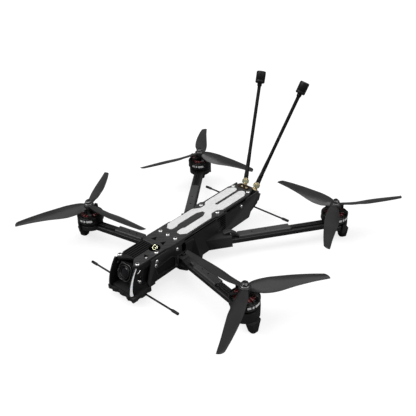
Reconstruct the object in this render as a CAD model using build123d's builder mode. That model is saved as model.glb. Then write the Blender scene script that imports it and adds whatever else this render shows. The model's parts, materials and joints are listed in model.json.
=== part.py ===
"""Seven-and-a-half-inch first-person-view racing drone.

The origin is on the ground, midway between the four motors, with +Z up.  The nose points
towards -Y and the drone's left side is +X.  All lengths are millimetres.
"""
from build123d import *
from math import atan, cos, degrees, hypot, pi, radians, sin
import os

os.makedirs("parts", exist_ok=True)

# Driving dimensions
prop_radius = 95.25
prop_pitch = 86
steepest_blade = 24.5
front_motor = (129.4, -102.8)
rear_motor = (118.1, 102.8)
front_root = (25, -82)
rear_root = (25, -30)
arm_width = 13.5
arm_thickness = 6
motor_pad_radius = 15.6
motor_bolt_radius = 9.5
motor_base_radius = 14.3
bell_radius = 17.35
shaft_radius = 2.0
pad_thickness = 0.8
bell_wall = 2.05
flux_ring_height = 9
spoke_width = 4.2

# Heights of the stacked layers
bottom_z = 16.5
plate_thickness = 2.5
arm_z = bottom_z + plate_thickness
arm_top = arm_z + arm_thickness
mid_top = arm_top + plate_thickness
top_z = 49
top_top = top_z + plate_thickness
prop_z = 45
hub_height = 7.5

# Body widths
plate_half = 17.2
cage_inner = 15.9
cage_outer = 17.7
cover_inner = 17.8
cover_outer = 19.4
light_inner = 16.5
light_thickness = 1.0
recess_depth = 3.2

# Fasteners
m3 = 1.5
m3_hole = 1.6
m3_head = 2.7
head_height = 1.5
m2 = 1.0
m2_fit = 1.05

# Camera
pivot_y, pivot_z = -150.6, 35
tilt = 25
camera_half_width = 10.5
camera_height = 19.5
bezel_depth = 6.2
lock_radius = 5.2
lock_angle = 254.4
lock_start = 226
lock_arc = 57
lock_half = 1.4

# Power plug and antennas
plug_y, plug_top = 61.9, 52.6
pin_radius = 1.75
pin_shank = 2.0
antenna_rod = 0.9
front_antenna_y, front_antenna_z, front_antenna_half = -148.5, 11.6, 74
rear_antenna_y, rear_antenna_z, rear_antenna_half = 65, 24.4, 72.4
stem_lean = (0.1687, 0.4245, 0.8896)
stem_base = (8.41, 74.65, 44.63)

# Propeller blade: radius, leading and trailing half-chords, thickness, height above the hub's middle
blade_sections = [
    (3.6, 4.4, 4.4, 2.0, 0), (10, 6.8, 6.4, 2.2, -0.1), (20, 9.3, 8.4, 2.2, -1.4),
    (36, 10.2, 8.5, 1.9, -2.1), (56, 9.2, 6.2, 1.6, -1.7), (76, 7.3, 4.1, 1.3, -1.9),
    (90, 5.3, 3.2, 1.0, -2.3), (prop_radius, 2.6, 2.8, 0.9, -2.5)]

# Side views of the body side and of the camera cage behind its curved front edge
side_profile = [
    (-132.5, 48.8), (-141, 22.5), (-139.8, bottom_z), (-90, bottom_z), (-90, 31.2), (-71, 31.2),
    (-71, bottom_z), (49, bottom_z), (53, 24), (67, 31), (70.5, 44), (69.5, 48.8),
    (44, 48.8), (41, 46.2), (4, 46.2), (1, 48.8)]
side_panel = [(-127.5, 34), (-124.5, 23.5), (-98, 20.5), (-96, 24), (-96, 33), (-101, 36)]
louvre_y, louvre_length = -9.6, 17
louvre_heights = [25.7 + 2.9 * row for row in range(8)]

# Motor and arm: place, root of the arm, side, spin seen from above, blade angle
motors = {
    "front_left": (front_motor, front_root, 1, 1, 53.2),
    "front_right": (front_motor, front_root, -1, -1, 6.3),
    "rear_left": (rear_motor, rear_root, 1, -1, 55.0),
    "rear_right": (rear_motor, rear_root, -1, 1, 6.2),
}
sides = {"left": 1, "right": -1}

nose_screws = [(14.5, -150), (15, -120.7), (-14.5, -150)]
standoff_places = [(12.5, -86.8), (13.9, -11), (12.7, 54)]
middle_standoff = (0, -86.8)
socket_hole = (6.4, -115.4)
socket_base = (6.4, -113.9, 50.9)
side_screws = [(-125, 43.5), (-127, 38.5), (-91.4, 41.9), (31.4, 42.5)]


def save(part, name):
    part.label = name
    export_step(part, f"parts/{name}.step")


def both_sides(places):
    return [(side * x, y) for side in (1, -1) for x, y in places]


def half_outline(points):
    """Closes the outline of a left half with its own reflection."""
    return points + [(-x, y) for x, y in reversed(points)]


def arm_frame(motor, root, side, z):
    """Plane at the arm's root, with x along the arm towards the motor."""
    along = (side * (motor[0] - root[0]), motor[1] - root[1], 0)
    return Plane(origin=(side * root[0], root[1], z), x_dir=along, z_dir=(0, 0, 1))


def arm_length(motor, root):
    return hypot(motor[0] - root[0], motor[1] - root[1])


def arm_bolts(root):
    """Distances of the two clamp bolts from the arm's root, inside the body."""
    return (-14, -6) if root == front_root else (-20, -12)


def arm_bolt_places():
    places = []
    for motor, root, side, _, _ in motors.values():
        frame = arm_frame(motor, root, side, 0)
        places += [frame.from_local_coords((t, 0, 0)) for t in arm_bolts(root)]
    return [(p.X, p.Y) for p in places]


def top_screw_places():
    """Screws of the nose, then those that enter the standoffs; the nose has one more on its left."""
    return nose_screws + both_sides(standoff_places) + [middle_standoff]


def motor_plane(motor, side, z):
    return Plane(origin=(side * motor[0], motor[1], z))


# Carbon plates
def make_bottom_plate():
    outline = half_outline([
        (11, -138), (15.6, -133), (15.6, -110), (plate_half, -106), (plate_half, -89.8),
        (25.8, -89.8), (25.8, -71.2), (plate_half, -71.2), (plate_half, -64.4), (23.8, -58.2),
        (23.8, -34), (plate_half, -10), (plate_half, 40), (11, 48)])
    with BuildPart() as bottom_plate:
        with BuildSketch(Plane.XY.offset(bottom_z)):
            Polygon(*outline, align=None)
            with Locations(*arm_bolt_places(), *both_sides([(13.9, -11)])):
                Circle(m3_hole, mode=Mode.SUBTRACT)
            with Locations((0, -118), (0, 18)):
                SlotOverall(16, 6, mode=Mode.SUBTRACT)
        extrude(amount=plate_thickness)
    save(bottom_plate.part, "bottom_plate")


def make_mid_plate():
    outline = half_outline([
        (12, -112), (plate_half, -106), (plate_half, -88.8), (25, -88.8), (25, -74.2),
        (plate_half, -74.2), (plate_half, -48), (21.4, -46), (21.4, -34), (plate_half, -28),
        (plate_half, 52), (12, 60)])
    with BuildPart() as mid_plate:
        with BuildSketch(Plane.XY.offset(arm_top)):
            Polygon(*outline, align=None)
            with Locations(*arm_bolt_places(), *both_sides(standoff_places), middle_standoff):
                Circle(m3_hole, mode=Mode.SUBTRACT)
            with Locations((0, -24), (0, 30)):
                SlotOverall(18, 8, mode=Mode.SUBTRACT)
        extrude(amount=plate_thickness)
    save(mid_plate.part, "mid_plate")


def make_top_plate():
    """The plate ends in a single prong at the nose, beside the transmitter's heat sink."""
    prong = [(13, -155), (17.3, -151)]
    half = [
        (17.3, -109), (19.2, -102), (19.2, -66), (17.8, -63), (17.8, -19), (20, -16), (20, -6),
        (17.8, -3), (17.8, 49), (11.5, 66), (9.5, 68.6)]
    window = [(-17.3, -112), (3, -112), (3, -145)]
    with BuildPart() as top_plate:
        with BuildSketch(Plane.XY.offset(top_z)):
            Polygon(*prong, *half_outline(half), *window, align=None)
            with Locations(*top_screw_places()):
                Circle(m3_hole, mode=Mode.SUBTRACT)
            with Locations(socket_hole):
                Circle(7, mode=Mode.SUBTRACT)
            Polygon((6.4, -131.6), (13, -131), (10.8, -136), align=None, mode=Mode.SUBTRACT)
            for side in sides.values():
                Polygon((side * 3.8, -104), (side * 10.4, -105.4), (side * 7.6, -97.6), align=None,
                        mode=Mode.SUBTRACT)
            with Locations((0, plug_y)):
                Rectangle(16.4, 8.4, mode=Mode.SUBTRACT)
        extrude(amount=plate_thickness)
        chamfer(top_plate.faces().sort_by(Axis.Z)[-1].outer_wire().edges(), 0.3)
    save(top_plate.part, "top_plate")


def make_battery_pad():
    """Anti-slip pad: two forked legs at each end, joined at a narrow waist."""
    outline = [
        (3.9, -74.5), (6.2, -77), (11, -77), (16.4, -70.5), (16.4, -25.5), (9.7, -17.5),
        (9.7, -8), (13, -4.5), (15, -1), (15, 43), (12, 49), (9, 51.5), (5.5, 52), (2, 48),
        (2, 3.6), (0, 1.8), (0, -21.5), (2.2, -21.5), (5.7, -29), (5.7, -63), (3.9, -66.5)]
    with BuildPart() as battery_pad:
        with BuildSketch(Plane.XY.offset(top_top)):
            with BuildLine():
                Polyline(*outline, close=True)
            make_face()
            mirror(about=Plane.YZ)
        extrude(amount=pad_thickness)
        corners = battery_pad.edges().filter_by(Axis.Z).filter_by(lambda edge: abs(edge.center().X) > 1)
        fillet(corners, 0.9)
    save(battery_pad.part, "battery_pad")


# Arms, their wire covers, wires and feet
def make_arm(name, motor, root, side):
    length = arm_length(motor, root)
    inner_end = -22 if root == front_root else -30
    with BuildPart() as arm:
        with BuildSketch(arm_frame(motor, root, side, arm_z)):
            with Locations(((inner_end + length) / 2, 0)):
                Rectangle(length - inner_end, arm_width)
            with Locations((length, 0)):
                Circle(motor_pad_radius)
                Circle(4, mode=Mode.SUBTRACT)
            with Locations((length, 0)):
                with PolarLocations(motor_bolt_radius, 4, 45):
                    Circle(m3_hole, mode=Mode.SUBTRACT)
            with Locations(*[(t, 0) for t in arm_bolts(root)]):
                Circle(m3_hole, mode=Mode.SUBTRACT)
        extrude(amount=arm_thickness)
        chamfer(arm.faces().sort_by(Axis.Z)[-1].outer_wire().edges(), 0.6)
    save(arm.part, f"arm_{name}")


def cover_span(root):
    """Start and end of the arm's wire cover, measured from the arm's root."""
    return (21, 62) if root == front_root else (31, 100)


def make_arm_cover(name, motor, root, side):
    start, end = cover_span(root)
    middle, span = (start + end) / 2, end - start
    with BuildPart() as arm_cover:
        with BuildSketch(arm_frame(motor, root, side, arm_top)):
            with Locations((middle, 0)):
                Rectangle(span, 11.4)
        extrude(amount=3.9)
        chamfer(arm_cover.faces().sort_by(Axis.Z)[-1].edges(), 0.9)
        with BuildSketch(arm_frame(motor, root, side, arm_top)):
            with Locations((middle, 0)):
                Rectangle(span, 8.4)
        extrude(amount=2.7, mode=Mode.SUBTRACT)
        with BuildSketch(arm_frame(motor, root, side, arm_top + 2.7)):
            with Locations((start + 0.26 * span, 0), (start + 0.53 * span, 0)):
                Circle(1.1)
        extrude(amount=1.2, mode=Mode.SUBTRACT)
    save(arm_cover.part, f"arm_cover_{name}")


def make_motor_wires():
    with BuildPart() as motor_wires:
        for motor, root, side, _, _ in motors.values():
            start = 8 if root == front_root else 10
            end = arm_length(motor, root) - motor_base_radius - 0.3
            with BuildSketch(arm_frame(motor, root, side, arm_top)):
                with Locations(((start + end) / 2, 0)):
                    Rectangle(end - start, 7.2)
            extrude(amount=2.4)
    save(motor_wires.part, "motor_wires")


def make_foot(name, motor, root, side):
    """Soft bumper round the arm's end, with a leg down to the ground."""
    length = arm_length(motor, root)
    collar_z, collar_height, collar_radius = 14.2, 12.8, 17.6
    with BuildPart() as foot:
        with BuildSketch(arm_frame(motor, root, side, collar_z)):
            with Locations((length, 0)):
                Circle(collar_radius)
                Circle(6, mode=Mode.SUBTRACT)
            with Locations((length - 9.5, 0)):
                Rectangle(30, 46, mode=Mode.SUBTRACT)
        extrude(amount=collar_height)
        with BuildSketch(arm_frame(motor, root, side, 0)):
            with Locations((length + 15, 0)):
                RectangleRounded(10, 10, 3.5)
        with BuildSketch(arm_frame(motor, root, side, collar_z)):
            with Locations((length + 13.5, 0)):
                RectangleRounded(13, 17, 4)
        loft()
        with BuildSketch(arm_frame(motor, root, side, arm_z)):
            with Locations((length, 0)):
                Circle(motor_pad_radius + 0.05)
        extrude(amount=collar_height, mode=Mode.SUBTRACT)
        with BuildSketch(arm_frame(motor, root, side, 0)):
            with Locations((length, 0)):
                with PolarLocations(motor_bolt_radius, 4, 45):
                    Circle(3.2)
        extrude(amount=arm_z, mode=Mode.SUBTRACT)
    save(foot.part, f"foot_{name}")


# Motors and rotors
def make_motor_base(name, motor, root, side):
    with BuildPart() as motor_base:
        with BuildSketch(motor_plane(motor, side, arm_top)):
            Circle(motor_base_radius)
        extrude(amount=2.5)
        with BuildSketch(motor_plane(motor, side, arm_top + 2.5)):
            Circle(7)
        extrude(amount=1.5)
        with BuildSketch(motor_plane(motor, side, arm_top + 4)):
            Circle(4.5)
        extrude(amount=12)
        with BuildSketch(motor_plane(motor, side, arm_top)):
            Circle(shaft_radius + 0.04)
        extrude(amount=16, mode=Mode.SUBTRACT)
        with BuildSketch(arm_frame(motor, root, side, arm_top)):
            with Locations((arm_length(motor, root), 0)):
                with PolarLocations(motor_bolt_radius, 4, 45):
                    Circle(m3_hole)
        extrude(amount=2.5, mode=Mode.SUBTRACT)
    save(motor_base.part, f"motor_base_{name}")


def make_stators():
    """Twelve wound teeth round the bearing tube of each motor."""
    with BuildPart() as stators:
        for motor, _, side, _, _ in motors.values():
            with BuildSketch(motor_plane(motor, side, arm_top + 4)):
                Circle(7.4)
                with PolarLocations(10.2, 12):
                    Rectangle(6.6, 3.2)
                Circle(4.52, mode=Mode.SUBTRACT)
            extrude(amount=12.4)
    save(stators.part, "stators")


def make_bell(name, motor, side):
    """Rotor: a magnet ring hung from the hub by five bent spokes, and the propeller's shaft."""
    skirt_z = arm_top + 4.6
    ring_top = skirt_z + flux_ring_height
    spoke_thickness = 2
    with BuildPart() as bell:
        with BuildSketch(motor_plane(motor, side, skirt_z)):
            Circle(bell_radius)
            Circle(bell_radius - bell_wall, mode=Mode.SUBTRACT)
        extrude(amount=flux_ring_height)
        with BuildSketch(motor_plane(motor, side, ring_top)):
            with PolarLocations(bell_radius - 1, 5):
                Rectangle(4, spoke_width)
            Circle(bell_radius, mode=Mode.INTERSECT)
            Circle(bell_radius - bell_wall, mode=Mode.SUBTRACT)
        extrude(amount=prop_z - ring_top)
        with BuildSketch(motor_plane(motor, side, prop_z - spoke_thickness)):
            with PolarLocations(bell_radius - 6, 5):
                Rectangle(14, spoke_width)
            Circle(6.4)
            Circle(bell_radius, mode=Mode.INTERSECT)
        extrude(amount=spoke_thickness)
        chamfer(bell.faces().sort_by(Axis.Z)[-1].outer_wire().edges(), 0.7)
        with BuildSketch(motor_plane(motor, side, arm_top + 0.6)):
            Circle(shaft_radius)
        extrude(amount=prop_z - spoke_thickness - arm_top - 0.6)
        with BuildSketch(motor_plane(motor, side, prop_z)):
            Circle(2.5)
        extrude(amount=13.2)
    save(bell.part, f"bell_{name}")


def blade_plane(motor, side, spin, angle, radius, rise):
    """Section plane across a blade: x runs from the trailing to the leading edge."""
    theta = radians(angle)
    pitch = min(atan(prop_pitch / (2 * pi * radius)), radians(steepest_blade))
    centre = (side * motor[0] + radius * cos(theta), motor[1] + radius * sin(theta),
              prop_z + hub_height / 2 + 0.6 + rise)
    chord = (-spin * sin(theta) * cos(pitch), spin * cos(theta) * cos(pitch), sin(pitch))
    return Plane(origin=centre, x_dir=chord, z_dir=(cos(theta), sin(theta), 0))


def make_propeller(name, motor, side, spin, first_angle):
    with BuildPart() as propeller:
        for angle in (first_angle, first_angle + 120, first_angle + 240):
            for radius, lead, trail, thick, rise in blade_sections:
                up = spin * thick
                with BuildSketch(blade_plane(motor, side, spin, angle, radius, rise)):
                    with BuildLine():
                        ThreePointArc((-trail, 0), (0, up), (lead, 0.25 * up))
                        Line((lead, 0.25 * up), (lead, -0.15 * up))
                        ThreePointArc((lead, -0.15 * up), (0, 0.1 * up), (-trail, -0.35 * up))
                        Line((-trail, -0.35 * up), (-trail, 0))
                    make_face()
            loft()
        with BuildSketch(motor_plane(motor, side, prop_z)):
            Circle(6.8)
        extrude(amount=hub_height)
        with BuildSketch(motor_plane(motor, side, prop_z - 2)):
            Circle(2.55)
        extrude(amount=hub_height + 4, mode=Mode.SUBTRACT)
    save(propeller.part, f"propeller_{name}")


def make_prop_nut(name, motor, side):
    seat = prop_z + hub_height
    with BuildPart() as prop_nut:
        with BuildSketch(motor_plane(motor, side, seat)):
            Circle(5.2)
        extrude(amount=1.2)
        with BuildSketch(motor_plane(motor, side, seat + 1.2)):
            RegularPolygon(4, 6, major_radius=False)
        extrude(amount=3.6)
        chamfer(prop_nut.faces().sort_by(Axis.Z)[-1].edges(), 0.4)
        with BuildSketch(motor_plane(motor, side, seat)):
            Circle(2.55)
        extrude(amount=6, mode=Mode.SUBTRACT)
    save(prop_nut.part, f"prop_nut_{name}")


# Standoffs and screws
def make_standoffs():
    with BuildPart() as standoffs:
        with BuildSketch(Plane.XY.offset(mid_top)):
            with Locations(*both_sides(standoff_places), middle_standoff):
                RegularPolygon(2.5, 6, major_radius=False)
                Circle(m3_hole, mode=Mode.SUBTRACT)
        extrude(amount=top_z - mid_top)
    save(standoffs.part, "standoffs")


def make_frame_screws():
    """Socket-head screws in the top and bottom plates, lock nuts and body-side screws."""
    upper = top_screw_places()
    lower = arm_bolt_places() + both_sides([(13.9, -11)])
    with BuildPart() as frame_screws:
        for places, seat, up, length in ((upper, top_top, 1, 7.5), (lower, bottom_z, -1, 12.9)):
            with BuildSketch(Plane.XY.offset(seat)):
                with Locations(*places):
                    Circle(m3_head)
            extrude(amount=up * head_height)
            with BuildSketch(Plane.XY.offset(seat + up * 0.7)):
                with Locations(*places):
                    RegularPolygon(1.1, 6, major_radius=False)
            extrude(amount=up * head_height, mode=Mode.SUBTRACT)
            with BuildSketch(Plane.XY.offset(seat)):
                with Locations(*places):
                    Circle(m3)
            extrude(amount=-up * length)
        with BuildSketch(Plane.XY.offset(mid_top)):
            with Locations(*arm_bolt_places()):
                RegularPolygon(2.6, 6, major_radius=False)
                Circle(m3 + 0.03, mode=Mode.SUBTRACT)
        extrude(amount=1.9)
        for side in sides.values():
            face = Plane.YZ.offset(side * cover_outer)
            with BuildSketch(face):
                with Locations(*side_screws):
                    Circle(2.3)
            extrude(amount=side * 1.3)
            with BuildSketch(face):
                with Locations(*side_screws):
                    Circle(m3)
            extrude(amount=-side * 4.4)
    save(frame_screws.part, "frame_screws")


def make_motor_screws():
    with BuildPart() as motor_screws:
        for motor, root, side, _, _ in motors.values():
            for z, radius, height in ((arm_z, m3_head, -head_height), (arm_z, m3, 8.2)):
                with BuildSketch(arm_frame(motor, root, side, z)):
                    with Locations((arm_length(motor, root), 0)):
                        with PolarLocations(motor_bolt_radius, 4, 45):
                            Circle(radius)
                extrude(amount=height)
    save(motor_screws.part, "motor_screws")


# Body shells
def make_side_cover(name, side):
    """Body side with a flared fairing, a sleeve round the rear arm and cooling slots."""
    cover_plane = Plane.YZ.offset(side * cover_inner)
    rear_arm = arm_frame(rear_motor, rear_root, side, 16)
    with BuildPart() as side_cover:
        with BuildSketch(cover_plane):
            Polygon(*side_profile, align=None)
        extrude(amount=side * (cover_outer - cover_inner))
        with BuildSketch(Plane.XY.offset(bottom_z)):
            Polygon((side * 17.8, -69), (side * 27.5, -60), (side * 27.5, -32),
                    (side * 17.8, 0), align=None)
        with BuildSketch(Plane.XY.offset(45)):
            Polygon((side * 17.8, -64), (side * 19.4, -62), (side * 19.4, -12),
                    (side * 17.8, -8), align=None)
        loft(ruled=True)
        with BuildSketch(rear_arm):
            Polygon((-17, -9), (21.6, -9), (21.6, 9), (-17, 9), align=None)
        with BuildSketch(rear_arm.offset(14.4)):
            Polygon((-17, -8), (20.5, -8), (20.5, 8), (-17, 8), align=None)
        loft(ruled=True)
        split(bisect_by=cover_plane, keep=Keep.TOP if side == 1 else Keep.BOTTOM)
        with BuildSketch(Plane.XY.offset(bottom_z - 3)):
            Polygon((side * 17, -66), (side * 25.8, -58.5), (side * 25.8, -33),
                    (side * 17, -4), align=None)
        with BuildSketch(Plane.XY.offset(43)):
            Polygon((side * 17, -61), (side * 18.2, -60), (side * 18.2, -14),
                    (side * 17, -11), align=None)
        loft(ruled=True, mode=Mode.SUBTRACT)
        with BuildSketch(arm_frame(rear_motor, rear_root, side, arm_z - 0.1)):
            Polygon((-40, -6.9), (40, -6.9), (40, 6.9), (-40, 6.9), align=None)
        extrude(amount=10.2, mode=Mode.SUBTRACT)
        with BuildSketch(cover_plane):
            with Locations(*side_screws):
                Circle(m3_hole)
            with Locations(*[(louvre_y, z) for z in louvre_heights]):
                SlotOverall(louvre_length, 1.3)
        extrude(amount=side * 4, mode=Mode.SUBTRACT)
        with BuildSketch(Plane.YZ.offset(side * cover_outer)):
            Polygon(*side_panel, align=None)
            offset(amount=1.4)
        extrude(amount=side * 0.5)
        with BuildSketch(Plane.YZ.offset(side * (cover_outer - 1))):
            Polygon(*side_panel, align=None)
        extrude(amount=side * 2, mode=Mode.SUBTRACT)
    save(side_cover.part, f"side_cover_{name}")


def make_belly_pod():
    """Open-topped tub below the bottom plate, with a sloping nose."""
    outer = half_outline([(14, -92), (24, -86), (24, -50)])
    inner = half_outline([(13.4, -90.2), (22.4, -85), (22.4, -51.6)])
    floor_outer = half_outline([(12, -82), (21, -78), (21.5, -51)])
    floor_inner = half_outline([(11.4, -80.5), (19.4, -77), (19.8, -52.8)])
    with BuildPart() as belly_pod:
        with BuildSketch(Plane.XY.offset(2)):
            Polygon(*floor_outer, align=None)
        with BuildSketch(Plane.XY.offset(bottom_z)):
            Polygon(*outer, align=None)
        loft(ruled=True)
        with BuildSketch(Plane.XY.offset(3.8)):
            Polygon(*floor_inner, align=None)
        with BuildSketch(Plane.XY.offset(bottom_z)):
            Polygon(*inner, align=None)
        loft(ruled=True, mode=Mode.SUBTRACT)
    save(belly_pod.part, "belly_pod")


# Camera cage
def about_pivot(radius, angle):
    """Point in the side view, turned about the camera's tilt pivot."""
    return (pivot_y + radius * cos(radians(angle)), pivot_z + radius * sin(radians(angle)))


def make_cage_plate(name, side):
    """Cage side with a curved front edge, a pocket for the light strip and a tilt slot."""
    nose_side = [place for place in nose_screws if place[0] * side > 0]
    with BuildPart() as cage_plate:
        with BuildSketch(Plane.YZ.offset(side * cage_inner)):
            with BuildLine():
                Line((-153.2, top_z), (-155.4, 51))
                ThreePointArc((-155.4, 51), (-164.1, 36.2), (-168.2, 20.4))
                ThreePointArc((-168.2, 20.4), (-167, 16.9), (-162.3, 15.4))
                Polyline((-162.3, 15.4), (-158.2, 15.4), (-158.2, 17.5), (-139.9, 17.5),
                         (-139.9, 19.1), (-114, 19.1), (-114, top_z), (-153.2, top_z))
            make_face()
        extrude(amount=side * (cage_outer - cage_inner))
        with BuildSketch(Plane.YZ.offset(side * (cage_inner - 2.4))):
            Polygon((-130, 44), (-145.2, 44), (-148.1, 31), (-151, 21), (-137.4, 21), align=None)
        extrude(amount=side * 2.4)
        with BuildSketch(Plane.YZ.offset(side * cage_outer)):
            Polygon((-131, 43), (-144.4, 43), (-147, 31), (-149.6, 22), (-138, 22), align=None)
        extrude(amount=side * -recess_depth, mode=Mode.SUBTRACT)
        with BuildSketch(Plane.YZ.offset(side * (camera_half_width + 0.3))):
            with Locations((pivot_y, pivot_z)):
                Circle(3)
        extrude(amount=side * (cage_inner - camera_half_width - 0.3))
        with BuildSketch(Plane.XY.offset(top_z - 5)):
            with Locations(*[(side * 14.95, y) for _, y in nose_side]):
                Rectangle(4.9, 6)
        extrude(amount=5)
        with BuildSketch(Plane.XY.offset(top_z - 6)):
            with Locations(*nose_side):
                Circle(m3 + 0.02)
        extrude(amount=8, mode=Mode.SUBTRACT)
        with BuildSketch(Plane.YZ.offset(side * camera_half_width)):
            with Locations((pivot_y, pivot_z)):
                Circle(m2_fit)
            with Locations(*side_screws[:2]):
                Circle(m3_hole)
            with BuildLine():
                outer = CenterArc((pivot_y, pivot_z), lock_radius + lock_half, lock_start, lock_arc)
                inner = CenterArc((pivot_y, pivot_z), lock_radius - lock_half, lock_start, lock_arc)
                Line(outer @ 0, inner @ 0)
                Line(outer @ 1, inner @ 1)
            make_face()
            with Locations(about_pivot(lock_radius, lock_start),
                           about_pivot(lock_radius, lock_start + lock_arc)):
                Circle(lock_half)
            with Locations(Location((-151.4, 42.8, 0), 22)):
                SlotOverall(7, 2)
        extrude(amount=side * 12, mode=Mode.SUBTRACT)
        with BuildSketch(Plane.YZ.offset(side * light_inner)):
            with BuildLine():
                light_outline()
            make_face()
        extrude(amount=side * 2, mode=Mode.SUBTRACT)
    save(cage_plate.part, f"cage_plate_{name}")


def light_outline():
    """Side view of a light strip: a crescent that widens downwards and ends in a hook."""
    ThreePointArc((-155, 50.4), (-163.7, 36), (-167.8, 20.5))
    ThreePointArc((-167.8, 20.5), (-166.6, 17.2), (-162.4, 15.7))
    Line((-162.4, 15.7), (-163.2, 20.6))
    ThreePointArc((-163.2, 20.6), (-161.5, 32.5), (-153.9, 48.9))
    Line((-153.9, 48.9), (-155, 50.4))


def make_light_strips():
    """Slim curved light bars let into the outer faces of the cage's front edges."""
    with BuildPart() as light_strips:
        for side in sides.values():
            with BuildSketch(Plane.YZ.offset(side * light_inner)):
                with BuildLine():
                    light_outline()
                make_face()
            extrude(amount=side * light_thickness)
    save(light_strips.part, "light_strips")


def make_front_bumper():
    """Soft skid below the camera, with a scalloped edge."""
    edge = half_outline([(8, -166), (14, -168), (21.5, -167), (22.5, -150), (21, -138.2)])
    tail = half_outline([(15, -138.4), (15, -126)])
    with BuildPart() as front_bumper:
        with BuildSketch(Plane.XY.offset(9.6)):
            Polygon(*edge, align=None)
            with Locations((5.6, -169.4), (-5.6, -169.4), (16.5, -170.8), (-16.5, -170.8)):
                Circle(4.4, mode=Mode.SUBTRACT)
            with Locations(*both_sides([(25.4, -157.5), (25, -144.5)])):
                Circle(4.6, mode=Mode.SUBTRACT)
        extrude(amount=5.6)
        with BuildSketch(Plane.XY.offset(12)):
            Polygon(*half_outline([(15.6, -164.5), (15.6, -138.4)]), align=None)
        extrude(amount=5.5)
        with BuildSketch(Plane.XY.offset(9)):
            Polygon(*tail, align=None)
        extrude(amount=bottom_z - 9)
        with BuildSketch(Plane.XY.offset(17.5)):
            with Locations(*both_sides([(16.8, -149)])):
                Rectangle(1.8, 18)
        extrude(amount=-2.3)
        with BuildSketch(Plane.YZ.offset(-30)):
            with Locations((front_antenna_y, front_antenna_z)):
                Circle(antenna_rod)
        extrude(amount=60, mode=Mode.SUBTRACT)
    save(front_bumper.part, "front_bumper")


# Camera
def camera_frame(depth):
    """Plane across the camera's optical axis, a distance ahead of the tilt pivot."""
    lean = radians(tilt)
    axis = (0, -cos(lean), sin(lean))
    centre = (0, pivot_y + depth * axis[1], pivot_z + depth * axis[2])
    return Plane(origin=centre, x_dir=(1, 0, 0), z_dir=axis)


def make_camera_body():
    back = -7
    lower = about_pivot(lock_radius, lock_angle)
    with BuildPart() as camera_body:
        with BuildSketch(camera_frame(back)):
            RectangleRounded(2 * camera_half_width, camera_height, 2)
        extrude(amount=bezel_depth - back)
        for side in sides.values():
            with BuildSketch(Plane.YZ.offset(side * camera_half_width)):
                with Locations((pivot_y, pivot_z), lower):
                    Circle(m2 + 0.02)
            extrude(amount=-side * 3.4, mode=Mode.SUBTRACT)
    save(camera_body.part, "camera_body")


def make_lens():
    """Rounded square bezel with a lens ring standing in it."""
    with BuildPart() as lens:
        with BuildSketch(camera_frame(bezel_depth)):
            RectangleRounded(21.2, 20.8, 7)
        extrude(amount=2.2)
        with BuildSketch(camera_frame(bezel_depth + 2.2)):
            Circle(9)
        extrude(amount=1.9)
        with BuildSketch(camera_frame(bezel_depth + 1.4)):
            Circle(7.2)
        extrude(amount=3, mode=Mode.SUBTRACT)
        with BuildSketch(camera_frame(bezel_depth + 1.4)):
            Circle(7.2)
        with BuildSketch(camera_frame(bezel_depth + 3)):
            Circle(4)
        loft()
    save(lens.part, "lens")


def make_camera_screws():
    """Pivot and lock screws, which turn with the camera."""
    lower = about_pivot(lock_radius, lock_angle)
    with BuildPart() as camera_screws:
        for side in sides.values():
            with BuildSketch(Plane.YZ.offset(side * (camera_half_width - 3.2))):
                with Locations((pivot_y, pivot_z), lower):
                    Circle(m2)
            extrude(amount=side * 10.8)
            with BuildSketch(Plane.YZ.offset(side * 18)):
                with Locations((pivot_y, pivot_z), lower):
                    Circle(2)
            extrude(amount=side * 1.3)
    save(camera_screws.part, "camera_screws")


# Electronics
def make_video_transmitter():
    """Transmitter whose ribbed heat sink is the right side of the nose's top."""
    rear = -113.4
    with BuildPart() as video_transmitter:
        with BuildSketch(Plane.XY.offset(45.5)):
            Polygon((-11.8, -144.2), (1.6, -144.2), (1.6, -117.4), (-11.8, -117.4), align=None)
        extrude(amount=top_z - 45.5)
        with BuildSketch(Plane.XY.offset(top_z)):
            Polygon((-13, -155), (2.6, -145.6), (2.6, rear), (-17.2, rear), (-17.2, -151),
                    align=None)
        extrude(amount=0.9)
        with BuildSketch(Plane.XY.offset(top_z)):
            Polygon((-13, -155), (2.6, -145.6), (2.6, -144.4), (-10, -144.4), (-10, -147),
                    (-17.2, -147), (-17.2, -151), align=None)
            with Locations((-7.5, (rear - 144) / 2)):
                with GridLocations(3.35, 1, 6, 1):
                    Rectangle(1.4, rear + 144)
        extrude(amount=plate_thickness)
        with BuildSketch(Plane.XY.offset(45)):
            with Locations(socket_hole):
                Circle(7.4)
            with Locations((-14.5, -150)):
                Circle(m3_hole)
        extrude(amount=8, mode=Mode.SUBTRACT)
    save(video_transmitter.part, "video_transmitter")


def make_flight_stack():
    """Flight controller above the four-in-one speed controller, with chip blocks."""
    with BuildPart() as flight_stack:
        for z in (31, 38):
            with BuildSketch(Plane.XY.offset(z)):
                with Locations((0, -48)):
                    RectangleRounded(32, 32, 3)
                    with GridLocations(25.5, 25.5, 2, 2):
                        Circle(1.6, mode=Mode.SUBTRACT)
            extrude(amount=1.6)
            with BuildSketch(Plane.XY.offset(z + 1.6)):
                with Locations((0, -48)):
                    Rectangle(12, 12)
            extrude(amount=1.6)
        with BuildSketch(Plane.XY.offset(mid_top)):
            with Locations((0, -48)):
                with GridLocations(25.5, 25.5, 2, 2):
                    Circle(2.4)
        extrude(amount=10.5)
    save(flight_stack.part, "flight_stack")


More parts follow.
